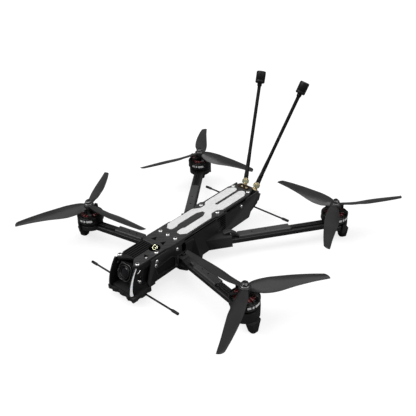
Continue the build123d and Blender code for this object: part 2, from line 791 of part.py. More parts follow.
# Connectors and antennas
def make_power_plug():
    with BuildPart() as power_plug:
        with BuildSketch(Plane.XY.offset(36.6)):
            with Locations((0, plug_y)):
                Rectangle(16, 8)
        extrude(amount=plug_top - 36.6)
        chamfer(power_plug.edges().filter_by(Axis.Z).sort_by(Axis.X)[-2:], 1.8)
        with BuildSketch(Plane.XY.offset(plug_top - 8)):
            with Locations((0, plug_y)):
                Rectangle(13.8, 6)
        extrude(amount=8, mode=Mode.SUBTRACT)
        with BuildSketch(Plane.XY.offset(36.6)):
            with Locations((3.6, plug_y), (-3.6, plug_y)):
                Circle(pin_shank)
        extrude(amount=8, mode=Mode.SUBTRACT)
    save(power_plug.part, "power_plug")


def make_power_pins():
    with BuildPart() as power_pins:
        with BuildSketch(Plane.XY.offset(34)):
            with Locations((3.6, plug_y), (-3.6, plug_y)):
                Circle(pin_shank)
        extrude(amount=plug_top - 8 - 34)
        with BuildSketch(Plane.XY.offset(plug_top - 8)):
            with Locations((3.6, plug_y), (-3.6, plug_y)):
                Circle(pin_radius)
        extrude(amount=7.7)
    save(power_pins.part, "power_pins")


def stem_plane(side, distance):
    """Plane across a rear antenna's axis, a distance above its connector's base."""
    x, y, z = (place + distance * lean for place, lean in zip(stem_base, stem_lean))
    return Plane(origin=(side * x, y, z), x_dir=(1, 0, 0),
                 z_dir=(side * stem_lean[0], stem_lean[1], stem_lean[2]))


def make_sma_connectors():
    with BuildPart() as sma_connectors:
        for side in sides.values():
            with BuildSketch(stem_plane(side, 0)):
                Circle(4.4)
            extrude(amount=1)
            with BuildSketch(stem_plane(side, 0.5)):
                Circle(3.1)
            extrude(amount=10)
            with BuildSketch(stem_plane(side, 4)):
                RegularPolygon(4, 6, major_radius=False)
            extrude(amount=5)
            with BuildSketch(stem_plane(side, 8.5)):
                Circle(3.4)
            extrude(amount=2.7)
    save(sma_connectors.part, "sma_connectors")


def make_antenna(name, side):
    with BuildPart() as antenna_stem:
        with BuildSketch(stem_plane(side, 11.2)):
            Circle(3.1)
        with BuildSketch(stem_plane(side, 44)):
            Circle(2.6)
        loft()
        with BuildSketch(stem_plane(side, 40)):
            Circle(2.35)
        extrude(amount=99)
        with BuildSketch(stem_plane(side, 138)):
            Circle(3.2)
        extrude(amount=4)
    save(antenna_stem.part, f"antenna_stem_{name}")
    with BuildPart() as antenna_head:
        with BuildSketch(stem_plane(side, 142)):
            Circle(6.4)
        extrude(amount=16)
        chamfer(antenna_head.edges().filter_by(GeomType.CIRCLE), 0.8)
    save(antenna_head.part, f"antenna_head_{name}")


def make_tail_mount():
    """Soft mount behind the plates that carries both connectors and the rear antenna."""
    with BuildPart() as tail_mount:
        with BuildSketch(Plane.YZ.offset(-17.7)):
            Polygon((69.2, 31.5), (70, 38), (71, 44.5), (76.5, 41), (73, 32), align=None)
        extrude(amount=35.4)
        for side in sides.values():
            with BuildSketch(stem_plane(side, 0)):
                Circle(5.2)
            extrude(amount=-8)
        with BuildSketch(Plane.YZ.offset(-7)):
            Polygon((61.6, 21.4), (68.4, 21.4), (73, 32), (69.2, 33), (61.6, 27.6), align=None)
        extrude(amount=14)
        with BuildSketch(Plane.YZ.offset(-20)):
            with Locations((rear_antenna_y, rear_antenna_z)):
                Circle(antenna_rod)
        extrude(amount=40, mode=Mode.SUBTRACT)
    save(tail_mount.part, "tail_mount")


def make_rod_antenna(name, y, z, half_span):
    """Thin dipole rod with a thicker sleeve at each end."""
    with BuildPart() as rod_antenna:
        with BuildSketch(Plane.YZ.offset(-half_span)):
            with Locations((y, z)):
                Circle(antenna_rod)
        extrude(amount=2 * half_span)
        for side in sides.values():
            with BuildSketch(Plane.YZ.offset(side * half_span)):
                with Locations((y, z)):
                    Circle(1.6)
            extrude(amount=-side * 13)
    save(rod_antenna.part, name)


def make_front_socket():
    """Bare coaxial socket behind the window, leaning forward."""
    face = Plane(origin=socket_base, x_dir=(1, 0, 0), z_dir=(0, -sin(pi / 4), cos(pi / 4)))
    with BuildPart() as front_socket:
        with BuildSketch(face.offset(-3)):
            Circle(4.4)
        extrude(amount=1.8)
        with BuildSketch(face.offset(-1.6)):
            Circle(3.175)
        extrude(amount=3.6)
        with BuildSketch(face.offset(-1)):
            Circle(2.3)
        extrude(amount=4, mode=Mode.SUBTRACT)
        with BuildSketch(face.offset(-1)):
            Circle(0.6)
        extrude(amount=1.8)
        with BuildSketch(face.offset(-10)):
            Circle(2.2)
        extrude(amount=7)
        with BuildSketch(Plane.XY.offset(44.6)):
            with Locations((6.4, -103.7)):
                Rectangle(10, 9)
        extrude(amount=top_z - 44.6)
    save(front_socket.part, "front_socket")


make_bottom_plate()
make_mid_plate()
make_top_plate()
make_battery_pad()
make_motor_wires()
make_stators()
make_standoffs()
make_frame_screws()
make_motor_screws()
make_belly_pod()
make_light_strips()
make_front_bumper()
make_camera_body()
make_lens()
make_camera_screws()
make_video_transmitter()
make_flight_stack()
make_power_plug()
make_power_pins()
make_sma_connectors()
make_tail_mount()
make_front_socket()
make_rod_antenna("front_antenna", front_antenna_y, front_antenna_z, front_antenna_half)
make_rod_antenna("rear_antenna", rear_antenna_y, rear_antenna_z, rear_antenna_half)
for name, side in sides.items():
    make_side_cover(name, side)
    make_cage_plate(name, side)
    make_antenna(name, side)
for name, (motor, root, side, spin, angle) in motors.items():
    make_arm(name, motor, root, side)
    make_arm_cover(name, motor, root, side)
    make_foot(name, motor, root, side)
    make_motor_base(name, motor, root, side)
    make_bell(name, motor, side)
    make_propeller(name, motor, side, spin, angle)
    make_prop_nut(name, motor, side)
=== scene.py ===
"""Looks of a racing quadcopter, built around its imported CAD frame.

Lengths are metres in the row frame: the nose points towards -Y, the drone's left side is +X
and it stands on z = 0.  Small sizes are written in millimetres times MM.
"""

import json
from math import atan, atan2, cos, pi, radians, sin

import bmesh
import bpy
from mathutils import Matrix, Vector


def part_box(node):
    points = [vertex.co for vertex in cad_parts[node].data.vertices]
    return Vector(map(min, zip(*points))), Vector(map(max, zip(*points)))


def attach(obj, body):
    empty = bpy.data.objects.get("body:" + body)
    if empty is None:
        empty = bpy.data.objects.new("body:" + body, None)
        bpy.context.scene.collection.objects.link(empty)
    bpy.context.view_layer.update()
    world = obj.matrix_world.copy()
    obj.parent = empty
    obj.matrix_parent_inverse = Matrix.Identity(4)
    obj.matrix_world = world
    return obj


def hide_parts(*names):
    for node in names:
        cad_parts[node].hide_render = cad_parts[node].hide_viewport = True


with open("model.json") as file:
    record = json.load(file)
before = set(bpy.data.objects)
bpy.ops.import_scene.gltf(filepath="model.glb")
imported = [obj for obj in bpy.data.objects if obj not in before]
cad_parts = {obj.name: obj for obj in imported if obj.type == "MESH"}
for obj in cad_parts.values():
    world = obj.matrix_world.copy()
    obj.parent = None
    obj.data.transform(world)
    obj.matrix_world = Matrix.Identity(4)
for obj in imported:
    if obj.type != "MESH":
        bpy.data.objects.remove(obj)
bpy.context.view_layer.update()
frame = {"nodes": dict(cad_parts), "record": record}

nodes = frame["nodes"]
MM = 0.001
UP = Vector((0, 0, 1))
corners = ("front_left", "front_right", "rear_left", "rear_right")

# Spin seen from above (1 is anticlockwise) and the direction of each propeller's first blade
spin = {"front_left": 1, "front_right": -1, "rear_left": -1, "rear_right": 1}
first_blade = {"front_left": 53.2, "front_right": 6.3, "rear_left": 55.0, "rear_right": 6.2}

# Design values shared with the CAD frame
arm_roots = {"front": Vector((25, -82, 0)) * MM, "rear": Vector((25, -30, 0)) * MM}
camera_tilt = radians(25)
antenna_lean = Vector((0.1687, 0.4245, 0.8896))
antenna_length = 150  # millimetres from a rear antenna's connector to its head's middle
camera_pivot_level = 33  # millimetres; the camera's lock screws are below it


# Camera
def make_camera(azimuth=41.627, elevation=32.108, roll=-1.128, distance=0.7384):
    """Looks down at the nose and the left side, with a slight roll."""
    target = Vector((-7.3, -5.0, 47.0)) * MM
    a, e, r = radians(azimuth), radians(elevation), radians(roll)
    back = Vector((sin(a) * cos(e), -cos(a) * cos(e), sin(e)))
    level = Vector((cos(a), sin(a), 0))
    upright = back.cross(level)
    right = level * cos(r) + upright * sin(r)
    up = upright * cos(r) - level * sin(r)
    data = bpy.data.cameras.new("camera")
    data.lens, data.sensor_width = 49.04, 36
    data.clip_start, data.clip_end = 0.02, 100
    camera = bpy.data.objects.new("camera", data)
    camera.matrix_world = Matrix.Translation(target + back * distance) @ Matrix(
        (right, up, back)).transposed().to_4x4()
    bpy.context.scene.collection.objects.link(camera)
    bpy.context.scene.camera = camera


make_camera()


# Node materials
band_scale = 0.26


class Surface:
    """A node material, with short calls for the patterns that feed its shader."""

    def __init__(self, name, **uniform):
        self.material = bpy.data.materials.new(name)
        self.material.use_nodes = True
        self.tree = self.material.node_tree
        self.shader = self.tree.nodes["Principled BSDF"]
        for socket, value in uniform.items():
            self.shader.inputs[socket.replace("_", " ")].default_value = value
        self.place = self.node("ShaderNodeTexCoord").outputs["Object"]

    def node(self, kind, inputs=None, **settings):
        node = self.tree.nodes.new(kind)
        for name, value in settings.items():
            setattr(node, name, value)
        for name, value in (inputs or {}).items():
            if isinstance(value, bpy.types.NodeSocket):
                self.tree.links.new(value, node.inputs[name])
            else:
                node.inputs[name].default_value = value
        return node

    def math(self, operation, a, b=0.0):
        return self.node("ShaderNodeMath", {0: a, 1: b}, operation=operation).outputs[0]

    def turned(self, angle=(0, 0, 0), scale=(1, 1, 1)):
        """Object coordinates, turned and scaled."""
        return self.node("ShaderNodeMapping", {"Vector": self.place, "Rotation": angle,
                                               "Scale": scale}).outputs[0]

    def noise(self, scale, detail=3, place=None):
        return self.node("ShaderNodeTexNoise", {"Vector": place or self.place, "Scale": scale,
                                                "Detail": detail}).outputs["Fac"]

    def cells(self, scale, feature="F1", place=None):
        return self.node("ShaderNodeTexVoronoi", {"Vector": place or self.place, "Scale": scale},
                         feature=feature).outputs["Distance"]

    def bands(self, size, direction="Z", distortion=0, place=None):
        """Soft bands, 1.2 times size apart."""
        return self.node("ShaderNodeTexWave", {
            "Vector": place or self.place, "Scale": band_scale / size, "Distortion": distortion},
            bands_direction=direction).outputs["Fac"]

    def spread(self, value, low, high, from_low=0.3, from_high=0.7):
        return self.node("ShaderNodeMapRange", {
            "Value": value, "From Min": from_low, "From Max": from_high, "To Min": low,
            "To Max": high}).outputs[0]

    def mix(self, factor, first, second):
        node = self.node("ShaderNodeMix", data_type="RGBA")
        for index, value in ((0, factor), (6, first), (7, second)):
            if isinstance(value, bpy.types.NodeSocket):
                self.tree.links.new(value, node.inputs[index])
            else:
                node.inputs[index].default_value = value
        return node.outputs[2]

    def wear_and_highlight_edges(self, colour, lift):
        """Lightens what stands proud: partly rubbed wear, partly a painted highlight."""
        proud = self.node("ShaderNodeNewGeometry").outputs["Pointiness"]
        return self.mix(self.spread(proud, 0, 1, 0.515, 0.60), colour, lift)

    def feed(self, socket, value):
        self.tree.links.new(value, self.shader.inputs[socket])

    def bump(self, height, depth):
        node = self.node("ShaderNodeBump", {"Height": height, "Distance": depth, "Strength": 1.0})
        self.feed("Normal", node.outputs[0])


def grey(tone, warmth=0.0):
    return (tone * (1 + warmth), tone, tone * (1 - warmth), 1)


def shade(colour, factor):
    return tuple(c * factor for c in colour[:3]) + (1,)


def moulded(name, colour, roughness, grain=1400, depth=0.02 * MM, wear_and_highlight=1.6, **uniform):
    """Moulded plastic: fine spark-eroded grain, faint flow marks, and edges lightened partly as
    rubbed wear, partly as painted highlight.
    """
    s = Surface(name, **uniform)
    fine, broad = s.noise(grain, 2), s.noise(45, 4)
    tint = s.mix(s.spread(broad, 0, 1), shade(colour, 0.86), shade(colour, 1.14))
    # Lighter edges: partly wear, partly painted highlight.
    s.feed("Base Color", s.wear_and_highlight_edges(tint, shade(colour, wear_and_highlight)))
    s.feed("Roughness", s.spread(s.math("ADD", s.math("MULTIPLY", fine, 0.5),
                                        s.math("MULTIPLY", broad, 0.5)),
                                 roughness - 0.07, roughness + 0.07))
    s.bump(fine, depth)
    return s.material


def printed(name, colour, roughness=0.62):
    """Flexible plastic laid down in thin level layers."""
    s = Surface(name)
    layers = s.bands(1 * MM, distortion=0.4)
    broad, fine = s.noise(70, 3), s.noise(2200, 2)
    tint = s.mix(s.spread(broad, 0, 1), shade(colour, 0.8), shade(colour, 1.25))
    # Lighter edges: partly wear, partly painted highlight.
    s.feed("Base Color", s.wear_and_highlight_edges(tint, shade(colour, 1.9)))
    s.feed("Roughness", s.spread(fine, roughness - 0.08, roughness + 0.1))
    s.bump(s.math("ADD", layers, s.math("MULTIPLY", fine, 0.6)), 0.03 * MM)
    return s.material


def metal(name, colour, roughness, metallic=1.0, grain=(3000, 3000, 300), wear_and_highlight=1.5, **uniform):
    """Turned or milled metal with a fine directional grain."""
    s = Surface(name, Metallic=metallic, **uniform)
    drawn = s.noise(1.0, 3, s.turned(scale=grain))
    broad = s.noise(90, 3)
    tint = s.mix(s.spread(broad, 0, 1), shade(colour, 0.85), shade(colour, 1.12))
    # Lighter edges: partly wear, partly painted highlight.
    s.feed("Base Color", s.wear_and_highlight_edges(tint, shade(colour, wear_and_highlight)))
    s.feed("Roughness", s.spread(drawn, roughness - 0.07, roughness + 0.09))
    s.bump(drawn, 0.006 * MM)
    return s.material


def woven_carbon(name, tone, roughness, heading=0.0, tow=2.0 * MM):
    """Two-by-two twill of carbon tows in resin; cut edges show the stacked layers."""
    s = Surface(name, Coat_Weight=0.12, Coat_Roughness=0.35)
    turned = s.turned(angle=(0, 0, -heading), scale=(1 / tow,) * 3)
    split = s.node("ShaderNodeSeparateXYZ", {0: turned}).outputs
    u, v = split[0], split[1]
    step = s.math("SUBTRACT", s.math("FLOOR", u), s.math("FLOOR", v))
    over = s.math("LESS_THAN", s.math("FLOORED_MODULO", step, 4.0), 2.0)
    across_u = s.math("PINGPONG", s.math("FRACT", u), 0.5)
    across_v = s.math("PINGPONG", s.math("FRACT", v), 0.5)
    crown = s.math("ADD", s.math("MULTIPLY", over, across_u),
                   s.math("MULTIPLY", s.math("SUBTRACT", 1.0, over), across_v))
    fibres = s.noise(1.0, 2, s.turned(angle=(0, 0, -heading), scale=(9000, 900, 900)))
    # The crossing tows get a darker and a lighter tone by direction: a painted sheen.
    weave = s.mix(over, grey(tone * 0.72), grey(tone * 1.3))
    weave = s.mix(s.spread(fibres, 0, 0.35), weave, grey(tone * 0.5))
    normal = s.node("ShaderNodeSeparateXYZ", {
        0: s.node("ShaderNodeNewGeometry").outputs["True Normal"]}).outputs[2]
    flat = s.spread(s.math("ABSOLUTE", normal), 0, 1, 0.55, 0.75)
    layers = s.bands(0.4 * MM, distortion=0.8)
    edge = s.mix(layers, grey(tone * 0.35), grey(tone * 0.75))
    # Lighter edges: partly wear, partly painted highlight.
    s.feed("Base Color", s.wear_and_highlight_edges(s.mix(flat, edge, weave), grey(tone * 1.7)))
    s.feed("Roughness", s.spread(s.noise(120, 3), roughness - 0.06, roughness + 0.08))
    beside = s.math("SUBTRACT", 0.5, s.math("MULTIPLY", flat, 0.5))
    height = s.math("ADD", s.math("MULTIPLY", crown, flat), s.math("MULTIPLY", layers, beside))
    s.bump(height, 0.05 * MM)
    return s.material


def dimpled_rubber(name, colour):
    """Light anti-slip rubber with a close pattern of small round dimples."""
    s = Surface(name, Sheen_Weight=0.2, Sheen_Roughness=0.5)
    pits = s.cells(1 / (1.05 * MM), "SMOOTH_F1", s.turned(scale=(1, 1, 0.02)))
    broad = s.noise(60, 4)
    tint = s.mix(s.spread(broad, 0, 1), shade(colour, 0.95), shade(colour, 1.04))
    # Dimples darkened towards their middles: painted shade in the hollows.
    s.feed("Base Color", s.mix(s.spread(pits, 0.10, 0, 0.05, 0.4), tint, shade(colour, 0.55)))
    s.feed("Roughness", s.spread(broad, 0.72, 0.86))
    s.bump(pits, 0.22 * MM)
    return s.material


def braided(name, colour, pitch=1.1 * MM):
    """Woven sleeve: two sets of threads crossing on the slant."""
    s = Surface(name, Sheen_Weight=0.25, Sheen_Roughness=0.4)
    first = s.bands(pitch, "DIAGONAL")
    second = s.bands(pitch, "DIAGONAL", place=s.turned(angle=(0, 0, pi / 2)))
    cross = s.math("MAXIMUM", first, second)
    # Thread crowns lightened and the gaps between threads darkened: painted highlight and painted
    # shade.
    s.feed("Base Color", s.mix(cross, shade(colour, 0.45), shade(colour, 1.7)))
    s.feed("Roughness", s.spread(cross, 0.7, 0.5, 0, 1))
    s.bump(cross, 0.12 * MM)
    return s.material


def enamelled(name, colour):
    """Lacquered winding wire."""
    s = Surface(name, Coat_Weight=0.6, Coat_Roughness=0.12)
    broad = s.noise(500, 2)
    s.feed("Base Color", s.mix(s.spread(broad, 0, 1), shade(colour, 0.7), shade(colour, 1.25)))
    s.feed("Roughness", s.spread(s.noise(1500, 2), 0.28, 0.42))
    s.bump(s.noise(1800, 2), 0.01 * MM)
    return s.material


def diffuser(name):
    """Milky light bar with small bright diodes behind the surface."""
    s = Surface(name, Subsurface_Weight=0.25, Subsurface_Scale=2 * MM, Coat_Weight=0.3,
                Emission_Color=(1, 1, 1, 1), Emission_Strength=0.28)
    glow = s.bands(4 * MM)
    s.feed("Base Color", s.mix(glow, (0.78, 0.80, 0.83, 1), (0.95, 0.95, 0.96, 1)))
    s.feed("Roughness", s.spread(s.noise(800, 2), 0.3, 0.45))
    s.bump(s.noise(1400, 2), 0.01 * MM)
    return s.material


def circuit_board(name):
    """Dark solder mask with faint copper tracks and plated pads."""
    s = Surface(name, Coat_Weight=0.3, Coat_Roughness=0.2)
    tracks = s.bands(2 * MM, "X", 6, s.turned(scale=(1, 1, 0.1)))
    pads = s.cells(420, "F1")
    mask = s.mix(s.spread(tracks, 0, 1, 0.62, 0.7), (0.006, 0.02, 0.014, 1),
                 (0.012, 0.045, 0.03, 1))
    s.feed("Base Color", s.mix(s.spread(pads, 1, 0, 0.1, 0.14), mask, (0.6, 0.45, 0.2, 1)))
    s.feed("Roughness", s.spread(s.noise(300, 2), 0.3, 0.45))
    s.bump(tracks, 0.02 * MM)
    return s.material


def coated_glass(name):
    """Dark lens glass; towards grazing angles its colour brightens and tints, a painted reflection
    of the coating.
    """
    s = Surface(name, Coat_Weight=0.3, Coat_Roughness=0.05, Specular_IOR_Level=0.3)
    facing = s.node("ShaderNodeLayerWeight", {"Blend": 0.35}).outputs["Facing"]
    # Painted reflection: colour brightening and tinting towards grazing angles.
    tint = s.mix(s.spread(facing, 0, 1, 0, 1), (0.0012, 0.0012, 0.002, 1), (0.006, 0.004, 0.010, 1))
    s.feed("Base Color", tint)
    s.feed("Roughness", s.spread(s.noise(400, 3), 0.03, 0.07))
    s.bump(s.noise(30, 1), 0.002 * MM)
    return s.material


materials = {
    "carbon": woven_carbon("carbon_plate", 0.024, 0.45),
    "cover_plastic": moulded("arm_cover_plastic", grey(0.042), 0.46, wear_and_highlight=1.3),
    "tpu": printed("flexible_print", grey(0.006)),
    # This edge lift goes far past wear: the lighter edges are mostly a painted highlight.
    "shell_plastic": moulded("shell_plastic", grey(0.0115), 0.45, wear_and_highlight=4.5,
                             Specular_IOR_Level=0.25),
    "cage_metal": metal("cage_anodised", grey(0.010), 0.42, 0.4),
    "motor_black": metal("motor_anodised", grey(0.010), 0.34, 0.5, (900, 900, 6000)),
    "winding": enamelled("red_winding", (0.105, 0.0025, 0.005, 1)),
    "prop_plastic": moulded("propeller_plastic", grey(0.022), 0.34, 2600, 0.006 * MM, 1.25,
                            Specular_IOR_Level=0.35),
    "nut_black": metal("nut_anodised", grey(0.12), 0.28, 0.9, wear_and_highlight=2.0),
    "screw_steel": metal("screw_steel", grey(0.88, 0.03), 0.3),
    "standoff_black": metal("standoff_anodised", grey(0.014), 0.38, 0.5, (3000, 3000, 120)),
    "pad_rubber": dimpled_rubber("pad_rubber", grey(0.66)),
    "light_white": diffuser("light_diffuser"),
    "gold": metal("gold_plate", (0.86, 0.74, 0.50, 1), 0.3),
    "plug_plastic": moulded("plug_plastic", (0.025, 0.008, 0.006, 1), 0.42),
    "antenna_black": moulded("antenna_sleeve", grey(0.004), 0.5, 900, Specular_IOR_Level=0.3),
    "braid": braided("braided_sleeve", grey(0.005)),
    "camera_black": metal("camera_anodised", grey(0.016), 0.4, 0.4),
    "lens_glass": coated_glass("lens_glass"),
    "heat_sink": metal("heat_sink_anodised", grey(0.014), 0.36, 0.5, (400, 6000, 400)),
    "circuit_board": circuit_board("circuit_board"),
}

lens_black = moulded("lens_front", grey(0.0025), 0.6, 900, Specular_IOR_Level=0.08)
# Lighter trim ring: partly its own tone, partly a painted highlight of the bezel's edge.
lens_trim_and_highlight = metal("lens_trim_and_highlight", grey(0.05), 0.4, 0.6)
# Darker sheet on the recessed side panels: painted shade.
panel_shade = moulded("panel_lining", grey(0.006), 0.6, 900, Specular_IOR_Level=0.15)
# Near-black and without gloss: the video socket's black parts, and painted shade in screw sockets,
# louvres, gaps and body openings.
black_and_shade = moulded("black_and_painted_shade", grey(0.0012), 0.9, 900, Specular_IOR_Level=0.0)
mark_grey = moulded("printed_marks", grey(0.8), 0.55, 2000, 0.004 * MM, 1.1)
lamination = metal("stator_laminations", grey(0.05), 0.45, 0.7, (300, 300, 9000))
magnet_nickel = metal("magnet_plating", grey(0.10, 0.02), 0.4)
screw_black = metal("oxide_screw", grey(0.02), 0.35, 0.8)


def middle(node):
    low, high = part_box(node)
    return (low + high) / 2


def motor_centre(corner):
    place = middle("motor_base_" + corner)
    return Vector((place.x, place.y, 0))


def arm_direction(corner):
    """Unit vector along an arm, from the body to the motor."""
    root = arm_roots[corner.split("_")[0]].copy()
    root.x *= 1 if corner.endswith("left") else -1
    return root, (motor_centre(corner) - root).normalized()


def soften(piece, width):
    """Rounds a CAD node's edges and smooths its curved faces, leaving its own mesh alone."""
    weld = piece.modifiers.new("weld", "WELD")
    weld.merge_threshold = 0.002 * MM
    merge = piece.modifiers.new("merge_flat_faces", "DECIMATE")
    merge.decimate_type, merge.angle_limit = "DISSOLVE", radians(0.4)
    round_edges(piece, width)


def round_edges(piece, width):
    bevel = piece.modifiers.new("round_edges", "BEVEL")
    bevel.width, bevel.segments = width, 2
    bevel.limit_method, bevel.angle_limit = "ANGLE", radians(34)
    bevel.miter_outer = "MITER_ARC"
    normals = piece.modifiers.new("even_shading", "WEIGHTED_NORMAL")
    normals.keep_sharp = False


# Width of the rounded edges by slot, in millimetres
rounding = {"tpu": 0.9, "shell_plastic": 0.5, "cover_plastic": 0.4, "light_white": 0.35}
usual_rounding = 0.25

# CAD nodes that visual pieces stand in for
rebuilt = ("propeller", "prop_nut", "bell", "stators", "motor_wires", "frame_screws",
           "motor_screws", "camera_screws", "lens", "sma_connectors", "front_socket",
           "antenna_stem", "antenna_head", "power_pins", "front_antenna", "rear_antenna",
           "battery_pad")


def dress_cad():
    """Gives every CAD node that stays its slot's material and rounded edges."""
    for row in frame["record"]["subparts"]:
        name, slot = row["node"], row["material_slot"]
        piece = nodes[name]
        if name.startswith(rebuilt):
            continue
        if slot == "carbon_arm":
            _, along = arm_direction(name[len("arm_"):])
            skin = woven_carbon(name + "_carbon", 0.010, 0.55, atan2(along.y, along.x))
        else:
            skin = materials[slot]
        for holder in piece.material_slots:
            holder.material = skin
        soften(piece, rounding.get(slot, usual_rounding) * MM)


dress_cad()


# Meshes, drawn in millimetres
class Shape:
    """The points and faces of one piece."""

    def __init__(self):
        self.points, self.faces = [], []

    def loft(self, rings, closed=False):
        """Skins a run of equal rings; closed joins the last to the first, without end caps."""
        first, n = len(self.points), len(rings[0])
        self.points += [Vector(point) for ring in rings for point in ring]
        runs = len(rings) if closed else len(rings) - 1
        for k in range(runs):
            a, b = first + k * n, first + (k + 1) % len(rings) * n
            self.faces += [[a + i, a + (i + 1) % n, b + (i + 1) % n, b + i] for i in range(n)]
        if not closed:
            self.faces.append([first + i for i in reversed(range(n))])
            self.faces.append([first + runs * n + i for i in range(n)])

    def turn(self, profile, place, steps=48, hexes=()):
        """Turns (radius, height) pairs round place's Z; rows named in hexes become hexagons."""
        rings = []
        for row, (radius, height) in enumerate(profile):
            ring = []
            for k in range(steps):
                angle = 2 * pi * k / steps
                reach = max(radius, 0.0001)
                if row in hexes:
                    reach /= cos((angle + pi / 6) % (pi / 3) - pi / 6)
                ring.append(place @ Vector((reach * cos(angle), reach * sin(angle), height)))
            rings.append(ring)
        self.loft(rings, closed=profile[0] == profile[-1])

    def tube(self, path, sizes, up=UP, steps=12, closed=False):
        """A hose along path; sizes is a radius or one (half-width, half-height) per point."""
        rings = []
        for k, point in enumerate(path):
            ahead = path[(k + 1) % len(path)] if closed else path[min(k + 1, len(path) - 1)]
            behind = path[k - 1] if closed else path[max(k - 1, 0)]
            along = (ahead - behind).normalized()
            across = along.cross(up).normalized()
            rise = across.cross(along)
            wide, tall = sizes[k] if isinstance(sizes, list) else (sizes, sizes)
            rings.append([point - across * wide * cos(2 * pi * i / steps)
                          + rise * tall * sin(2 * pi * i / steps) for i in range(steps)])
        self.loft(rings, closed=closed)


def spot(point, axis=UP):
    """Frame at a point in millimetres, its Z along axis."""
    z = Vector(axis).normalized()
    aside = Vector((1, 0, 0)) if abs(z.x) < 0.9 else Vector((0, 1, 0))
    y = z.cross(aside).normalized()
    x = y.cross(z)
    return Matrix.Translation(point) @ Matrix((x, y, z)).transposed().to_4x4()


def spaced(place, count):
    """A frame turned evenly round its Z, count times."""
    return [place @ Matrix.Rotation(2 * pi * k / count, 4, "Z") for k in range(count)]


def make_piece(name, shape, skin, body, replaces=(), bevel=0.0, sharp=38):
    """One visual piece, riding a body; bevel is in millimetres."""
    mesh = bpy.data.meshes.new(name)
    mesh.from_pydata([point * MM for point in shape.points], [], shape.faces)
    cleaner = bmesh.new()
    cleaner.from_mesh(mesh)
    bmesh.ops.remove_doubles(cleaner, verts=cleaner.verts, dist=0.0008 * MM)
    bmesh.ops.recalc_face_normals(cleaner, faces=cleaner.faces)
    cleaner.to_mesh(mesh)
    cleaner.free()
    mesh.shade_smooth()
    mesh.set_sharp_from_angle(angle=radians(sharp))
    mesh.materials.append(skin)
    piece = bpy.data.objects.new(name, mesh)
    bpy.context.scene.collection.objects.link(piece)
    if bevel:
        round_edges(piece, bevel * MM)
    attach(piece, body)
    if replaces:
        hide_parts(*replaces)
    return piece


def smooth_run(rows, count):
    """Catmull-Rom curve through rows of numbers, as count + 1 rows."""
    result = []
    for k in range(count + 1):
        t = k / count * (len(rows) - 1)
        i = min(int(t), len(rows) - 2)
        f = t - i
        a, b, c, d = (rows[max(i - 1, 0)], rows[i], rows[i + 1], rows[min(i + 2, len(rows) - 1)])
        result.append([0.5 * (2 * q + (r - p) * f + (2 * p - 5 * q + 4 * r - u) * f * f
                              + (3 * q - p - 3 * r + u) * f ** 3)
                       for p, q, r, u in zip(a, b, c, d)])
    return result


# Propellers: a blade's radius, width ahead, width behind, thickness and rise at each station
blade_rows = [
    (3.6, 4.4, 4.4, 2.0, 0), (10, 6.8, 6.4, 2.2, -0.1), (20, 9.3, 8.4, 2.2, -1.4),
    (36, 10.2, 8.5, 1.9, -2.1), (56, 9.2, 6.2, 1.6, -1.7), (76, 7.3, 4.1, 1.3, -1.9),
    (90, 5.3, 3.2, 1.0, -2.3), (95.25, 4.6, 2.8, 0.9, -2.5)]
blade_middle = 49.35
propeller_pitch, steepest_blade = 86, radians(24.5)
tip_start, tip_length = 90.5, 4.75
prop_bore, prop_seat, prop_top = 2.6, 45.0, 52.5


def blade_ring(centre, turn, heading, row, points=14):
    """Aerofoil section round one station of a blade."""
    radius, lead, trail, thick, rise = row
    pitch = min(atan(propeller_pitch / (2 * pi * radius)), steepest_blade)
    out = Vector((cos(heading), sin(heading), 0))
    chord = Vector((-turn * sin(heading) * cos(pitch), turn * cos(heading) * cos(pitch),
                    sin(pitch)))
    top = turn * out.cross(chord)
    rounding_off = max(0, (radius - tip_start) / tip_length)
    lead -= (lead + trail - 1.4) * (1 - (1 - rounding_off ** 2) ** 0.5)
    where = Vector((centre.x, centre.y, blade_middle + rise)) + out * radius
    upper, lower = [], []
    for k in range(points + 1):
        share = 0.5 - 0.5 * cos(pi * k / points)
        forward = max(0, (share - 0.54) / 0.46)
        backward = max(0, (0.54 - share) / 0.54)
        over = thick * (1 - 0.78 * forward ** 2 - backward ** 2)
        under = thick * (0.08 - 0.22 * forward ** 2 - 0.40 * backward ** 2)
        place = where + chord * (-trail + (lead + trail) * share)
        upper.append(place + top * over)
        lower.append(place + top * under)
    return upper + lower[-1:0:-1]


def make_propeller(corner):
    centre = motor_centre(corner) / MM
    body = "rotor_" + corner
    propeller = Shape()
    for k in range(3):
        heading = radians(first_blade[corner] + 120 * k)
        rows = smooth_run(blade_rows, 60)
        propeller.loft([blade_ring(centre, spin[corner], heading, row) for row in rows])
    propeller.turn([(prop_bore, prop_seat), (6.4, prop_seat), (6.8, prop_seat + 0.4),
                    (6.8, prop_top - 1.0), (6.5, prop_top - 0.3), (5.9, prop_top), (5.4, prop_top),
                    (5.2, prop_top - 0.25), (prop_bore, prop_top - 0.25), (prop_bore, prop_seat)],
                   spot(centre), 64)
    make_piece("propeller_visual_" + corner, propeller, materials["prop_plastic"], body,
               ["propeller_" + corner], sharp=50)


def make_nut(corner):
    """Flanged lock nut: washer face, hexagon and collar."""
    centre = motor_centre(corner) / MM
    nut = Shape()
    profile = [(prop_bore, 0), (5.0, 0), (5.2, 0.2), (5.15, 0.7), (4.5, 1.1), (4.0, 1.25),
               (4.0, 3.7), (3.55, 4.2), (3.3, 4.2), (3.2, 4.6), (2.75, 4.8), (prop_bore, 4.6),
               (prop_bore, 0)]
    nut.turn([(radius, prop_top + height) for radius, height in profile], spot(centre), 72,
             hexes=(5, 6))
    make_piece("nut_visual_" + corner, nut, materials["nut_black"], "rotor_" + corner,
               ["prop_nut_" + corner], sharp=30)


